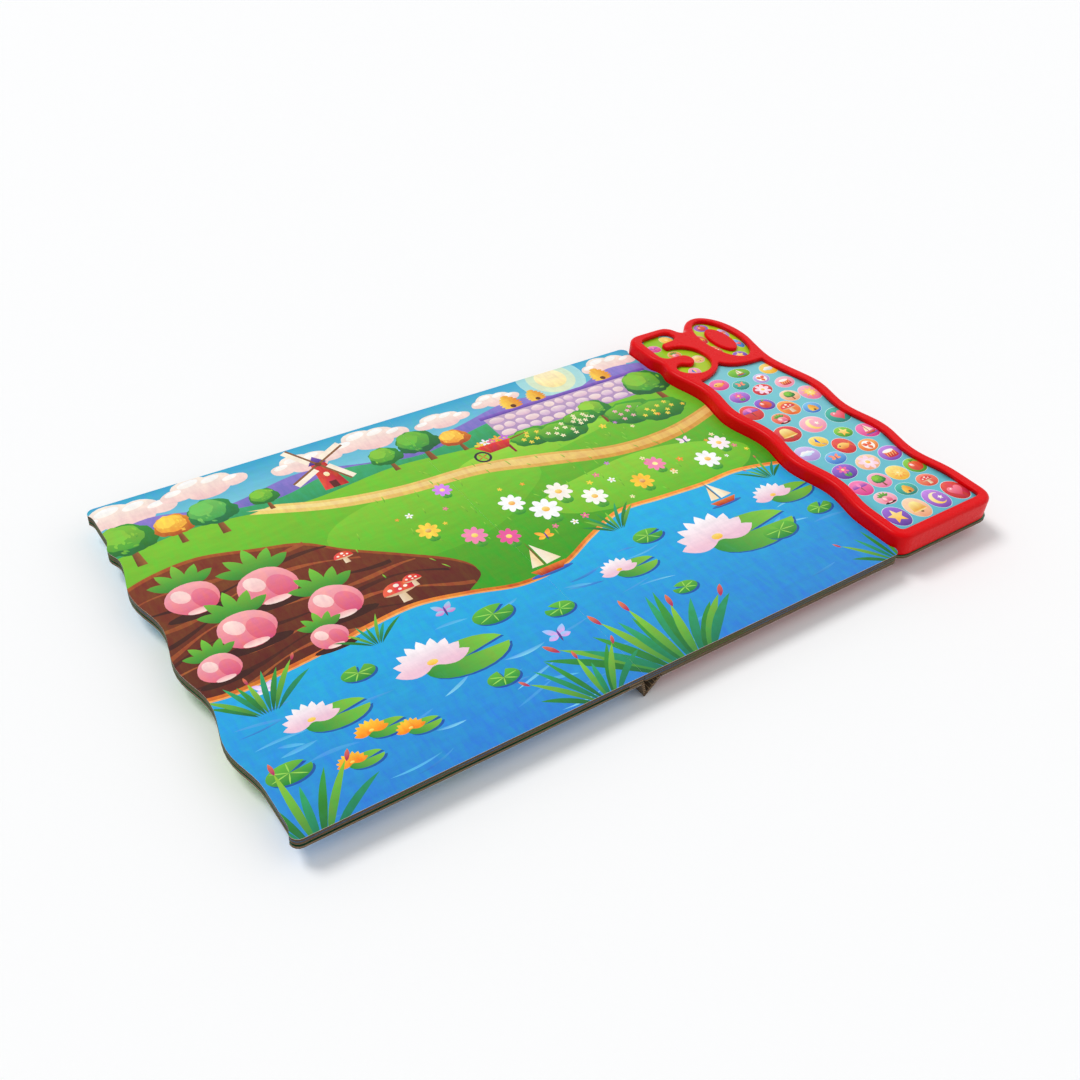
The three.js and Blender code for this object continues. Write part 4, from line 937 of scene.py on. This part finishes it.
def button_rise(flat):
    """Height over the film: 0.2 mm times the smooth step of (1 - rho) / 0.2, rho the oval's own radius."""
    height = np.zeros(len(flat))
    for middle, half, axes in ovals:
        rho = np.linalg.norm((flat - middle) @ axes / half, axis=1)
        step = np.clip((1 - rho) / 0.2, 0, 1)
        height = np.maximum(height, BUTTON_RISE * step * step * (3 - 2 * step))
    return height


def star(x, y, r, tint, light, points=5):
    """A star whose radius swings between 1 and 0.45."""
    a = np.pi / 2 + np.arange(2 * points) * np.pi / points
    reach = np.where(np.arange(2 * points) % 2, 0.45, 1.0)
    return placed([field(np.stack([reach * np.cos(a), reach * np.sin(a)], 1), tint, light)], x, y, r)


def heart(x, y, r, tint, light):
    """A heart: x is 16 sin cubed, y is 13 cos t - 5 cos 2t - 2 cos 3t - cos 4t."""
    t = np.linspace(0, 2 * np.pi, 24, endpoint=False)
    tall = 13 * np.cos(t) - 5 * np.cos(2 * t) - 2 * np.cos(3 * t) - np.cos(4 * t)
    return placed([field(np.stack([16 * np.sin(t) ** 3, tall], 1) / 16, tint, light),
                   field(oval(-0.42, 0.38, 0.2, 0.13, 0.6, 8), light, "ffffff")], x, y, r)


def apple(x, y, r, tint, light):
    """A round fruit with a shine, a stalk and a leaf."""
    return placed([field(oval(0, -0.1, 0.82, 0.76, 0, 20, 0.03, 1, 2), tint, light, (0, -1), (0, 1)),
                   field(oval(-0.3, 0.14, 0.2, 0.28, 0.4, 10), light, "ffffff"),
                   field(blade(0, 0.5, 0.5, 0.12, 1.4), "6a3a1c"),
                   field(blade(0.04, 0.66, 0.62, 0.3, 0.5), "2f8a2c", "9ad23c")], x, y, r)


def ball(x, y, r, tint, light):
    """A beach ball: a pale disc with three curved gores."""
    gores = [field(blade(0, 0, 0.84, 0.62, 0.5 + i * 2.09, 0.25), tint, light) for i in range(3)]
    return placed([field(oval(0, 0, 0.86, 0.86, 0, 22), "fff6e4", "ffffff")] + gores, x, y, r)


def bell(x, y, r, tint, light):
    """A bell with a flared lip and a clapper."""
    t = np.linspace(-1, 1, 13)
    skirt = np.stack([0.78 * t, -0.4 + 1.2 * (1 - np.abs(t) ** 2.6) ** 0.6], 1)
    return placed([field(oval(0, -0.58, 0.17, 0.17, 0, 10), "8a5a1c"), field(skirt, tint, light),
                   field(oval(0, -0.4, 0.84, 0.12, 0, 14), light, tint)], x, y, r)


def umbrella(x, y, r, tint, light):
    """A half-round canopy with one pale gore, on a straight stick."""
    t = np.linspace(0, np.pi, 13)
    dome = np.stack([0.92 * np.cos(t), 0.05 + 0.72 * np.sin(t)], 1)
    return placed([field(blade(-0.02, -0.8, 1.4, 0.11, 1.57), "6a3a1c"), field(dome, tint, light),
                   field(blade(0, 0.03, 0.74, 0.42, 1.57), light)], x, y, r)


def drum(x, y, r, tint, light):
    """A low drum with a pale skin and slanted cords."""
    side = [(-0.76, -0.5), (0.76, -0.5), (0.76, 0.34), (-0.76, 0.34)]
    parts = [field(oval(0, -0.5, 0.76, 0.24, 0, 16), tint), field(side, tint, light)]
    parts += [field(blade(-0.7 + i * 0.36, -0.56, 0.9, 0.07, 1.2), "ffe27a") for i in range(4)]
    return placed(parts + [field(oval(0, 0.36, 0.76, 0.26, 0, 16), "fff6e4", "ffffff")], x, y, r)


def kite(x, y, r, tint, light):
    """A four-sided kite, two tones, with a tail of bows."""
    parts = [field([(-0.5, 0.2), (0, -0.5), (0.5, 0.2), (0, 0.9)], tint),
             field([(0, -0.5), (0.5, 0.2), (0, 0.9)], light)]
    parts += [field(oval(0.16 + 0.16 * i, -0.62 - 0.14 * i, 0.12, 0.07, 0.5 * i, 8), tint) for i in range(3)]
    return placed(parts, x, y, r)


def moon(x, y, r, tint, light):
    """A crescent between two arcs, with one star."""
    t = np.linspace(-2.2, 2.2, 14)
    rim_line = np.stack([0.1 - 0.8 * np.cos(t), 0.8 * np.sin(t)], 1)
    inner_line = np.stack([0.3 - 0.52 * np.cos(t[::-1]), 0.66 * np.sin(t[::-1])], 1)
    crescent = [field(np.concatenate([rim_line, inner_line]), tint, light)]
    return placed(crescent + star(0.45, 0, 0.3, light, "ffffff"), x, y, r)


def little_fish(x, y, r, tint, light):
    """A drop-shaped body, a forked tail and an eye."""
    return placed([field([(0.45, 0), (0.98, 0.42), (0.84, 0), (0.98, -0.42)], tint),
                   field(blade(-0.9, 0, 1.6, 0.95, 0), tint, light),
                   field(oval(-0.45, 0.1, 0.1, 0.1, 0, 8), "201830")], x, y, r)


def sun_face(x, y, r):
    """A nine-pointed star with a bloom in its middle."""
    return star(x, y, r * 0.95, "ff8a1c", "ffe27a", 9) + bloom(x, y, r * 0.5, "ffe27a", "fff6c8", 8)


def cut_flower(x, y, r):
    """A pink flower on a short stem."""
    return flower(x, y + r * 0.3, r * 0.62, "f06aa0", "ffe27a", r * 1.2, count=6)


# Each small picture: what draws it, its shift up and its size as shares of the oval, and its inks
small_pictures = (
    (star, 0, 0.95, "ffb41c", "fff0a0"), (heart, -0.04, 0.8, "d81838", "ff8a9c"), (mushroom, -0.8, 1.45),
    (apple, 0, 1, "c8141c", "ff7a4a"), (bloom, 0, 1.05, "ffffff", "ffb41c", 7, 0.2, "ffd8e8"),
    (ball, 0, 1, "e02838", "ff8a3c"), (boat, -0.45, 1.1), (bell, 0, 1, "e8a01c", "fff0a0"),
    (turnip, -0.3, 0.66, 1), (umbrella, 0, 1, "7a3ab0", "ff8ac0"), (tree, -0.95, 1.15),
    (drum, 0, 1, "c8202c", "ff7a3c"), (little_fish, 0, 1, "f07a1c", "ffe27a"),
    (kite, -0.05, 1, "2f6fd0", "ffd23c"), (moon, 0, 1, "ffd23c", "fff6c8"), (hive, -0.75, 1.45),
    (sun_face, 0, 1), (cut_flower, 0, 1), (flyer, 0, 1, "ffb02c", "ff6a8a"),
    (cloud, 0, 0.62, ("bfe0f4", "ffffff")),
)
grounds = (
    ("5a2f96", "a06ad8"), ("f28aa8", "ffc4d0"), ("e86a1c", "ffb05c"), ("f5b81c", "ffe884"),
    ("f2a878", "ffdcb8"),
    ("137c70", "4fc4ac"), ("c8141c", "f25a50"), ("3a8f1c", "94d848"), ("7a3aa8", "c88ae8"),
    ("d8402c", "ff9478"),
    ("a88ad0", "dcc8f4"), ("e8709c", "ffb8cc"), ("b81424", "ee4a4c"), ("2f6fc0", "7fc4f4"),
    ("d82c84", "ff84bc"),
)
film_print = [
    field([(180, -5), (280, -5), (280, 262), (180, 262)], "5ab8c8", "86d0d8"),
    field(oval(205.5, 220, 20, 29, 0, 32), "b4d21c", "8cc81c"),
    field(oval(247.2, 222.5, 17.5, 29.5, 0, 32), "a4cc10", "c4dc2c"),
]
extra_points = []
circle = np.linspace(0, 2 * np.pi, 24, endpoint=False)
for number, (middle, half, axes) in enumerate(ovals):
    ring = np.stack([np.cos(circle), np.sin(circle)], 1) * half
    edge = ring @ axes.T + middle
    low_ink, high_ink = grounds[(number * 4 + number // 7) % len(grounds)]
    # The thin pale ring just outside each oval is a painted highlight round the raised button, lighter
    # towards the top.
    film_print.append(field(ring * 1.03 @ axes.T + middle, "d8f0f0", "f4ffff"))
    film_print.append(field(edge, low_ink, high_ink))
    draw, shift, size, *inks = small_pictures[(number * 7) % len(small_pictures)]
    radius = min(half) * 0.86
    film_print += draw(middle[0], middle[1] + shift * radius, size * radius, *inks)
    for share in (0.95, 0.9, 0.85, 0.8):
        extra_points += (ring * share @ axes.T + middle).tolist()
button_film = printed_sheet("button_film_print", film_outlines, film_print, BUTTON_TOP - BUTTON_RISE,
    FILM_LOW,
                            "back_half", button_rise, extra_points)
button_film.data.shade_smooth()
dress(button_film, print_material("film_print", 0.15, 0.12))
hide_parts("button_film")


# Covers: the outside of each cover board carries its own printed sheet, plain bands of hills and
# blooms on the front and a dotted red ground on the back.
front_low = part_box("front_cover")[0]
back_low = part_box("back_cover")[0]
front_under = (front_low[2] - GUTTER[2]) * 1000
back_under = (back_low[2] - GUTTER[2]) * 1000
cover_art = [
    field([(-200, -5), (5, -5), (5, 262), (-200, 262)], "1c9fd0", "8fdcf0"),
    field(oval(-95, 176, 46, 46, 0, 40), "ffcf3c", "fff0a8"),
    field(under(curve([(-200, 118), (-150, 140), (-95, 116), (-40, 138), (5, 120)])), "2f8a3c", "6fc13c"),
    field(under(curve([(-200, 74), (-140, 92), (-80, 70), (-30, 90), (5, 80)])), "4fa52c", "a5dc46"),
    field(under(curve([(-200, 26), (-150, 40), (-100, 28), (-40, 42), (5, 30)])), "1f79c8", "5cc4f0"),
] + cloud(-150, 222, 18) + cloud(-40, 228, 16) + flower(-95, 92, 24, "ffffff", "ffb41c", 52, count=9)
cover_art += flower(-150, 84, 18, "f06aa0", "ffe27a", 42, count=8)
cover_art += flower(-42, 84, 18, "ffc83c", "c8601c", 42, count=8)
cover_art += tree(-172, 122, 22) + tree(-16, 118, 20, "b3541a", "f0962a", "ffd24e") + lily(-120, 20, 14)
back_art = [field([(-5, -5), (290, -5), (290, 262), (-5, 262)], "b40f1a", "dc1f28")]
for k in range(17 * 10):
    x, y = 22 + 14.6 * (k % 17) + 7.3 * (k // 17 % 2), 14 + 25 * (k // 17)
    back_art.append(field(oval(x, y, 2.4, 2.4, 0, 12), ("ffd23c", "ffffff", "8fd23c")[k % 3]))
for node, body, art, level, sheet_name in (
    ("front_cover", "front_half", cover_art, front_under, "cover_sheet_front"),
    ("back_cover", "back_half", back_art, back_under, "cover_sheet_back"),
):
    loops = [anticlockwise(loop) for loop in node_loops(node, level, False)]
    sheet_piece = printed_sheet(sheet_name, loops, art, level - PAPER, level, body)
    dress(sheet_piece, page_print)


# Hidden works and fasteners: plated steel, the cells' cans, the circuit board and the speaker
def plated(name, code, gloss, stretch):
    """Bright metal with fine drawn lines and a slow stain."""
    material, tree, shader = new_material(name)
    where = wire(tree, "TexCoord").outputs["Object"]
    drawn = wire(tree, "Mapping", Vector=where, Scale=stretch)
    lines = wire(tree, "TexNoise", Vector=drawn, Scale=1.0, Detail=4.0)
    stain = wire(tree, "TexNoise", Vector=where, Scale=140.0, Detail=4.0)
    tone = ranged(tree, stain.outputs["Fac"], 0.3, 0.7, 0.82, 1.05)
    tinted = wire(tree, "HueSaturation", Hue=0.5, Saturation=1.0, Value=tone, Color=(*ink(code), 1))
    rough = ranged(tree, lines.outputs["Fac"], 0.2, 0.8, gloss, gloss + 0.18)
    tree.links.new(tinted.outputs[0], shader.inputs["Base Color"])
    tree.links.new(rough.outputs[0], shader.inputs["Roughness"])
    shader.inputs["Metallic"].default_value = 1.0
    bumped(tree, shader, lines.outputs["Fac"], 0.00001)
    return material


steel = plated("zinc_steel", "b4b8ba", 0.26, (900, 900, 60))
spring = plated("spring_steel", "c2c0b6", 0.22, (80, 1500, 1500))
for node in sorted(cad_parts):
    if "screw" in node:
        dress(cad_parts[node], steel)
    elif "contact" in node:
        dress(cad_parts[node], spring)
can = plated("cell_steel", "cdcdca", 0.18, (1200, 1200, 200))
for node in ("battery_cell_1", "battery_cell_2", "battery_cell_3", "speaker_basket", "speaker_magnet"):
    dress(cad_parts[node], can)
dress(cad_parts["circuit_board"], moulded("green_board", "156b3c", 0.3, 900.0, 0.00002))
dress(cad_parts["chip_resin"], moulded("black_resin", "0c0c0d", 0.12, 300.0, 0.00002))
dress(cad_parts["speaker_cone"], moulded("cone_film", "d8c08a", 0.25, 500.0, 0.00002))
dress(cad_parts["switch_spacer"], moulded("white_sheet", "ecebe4", 0.5, 1200.0))
for node in ("switch_sheet_upper", "switch_sheet_lower"):
    dress(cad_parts[node], moulded("clear_" + node, "c9cdc2", 0.3, 700.0))
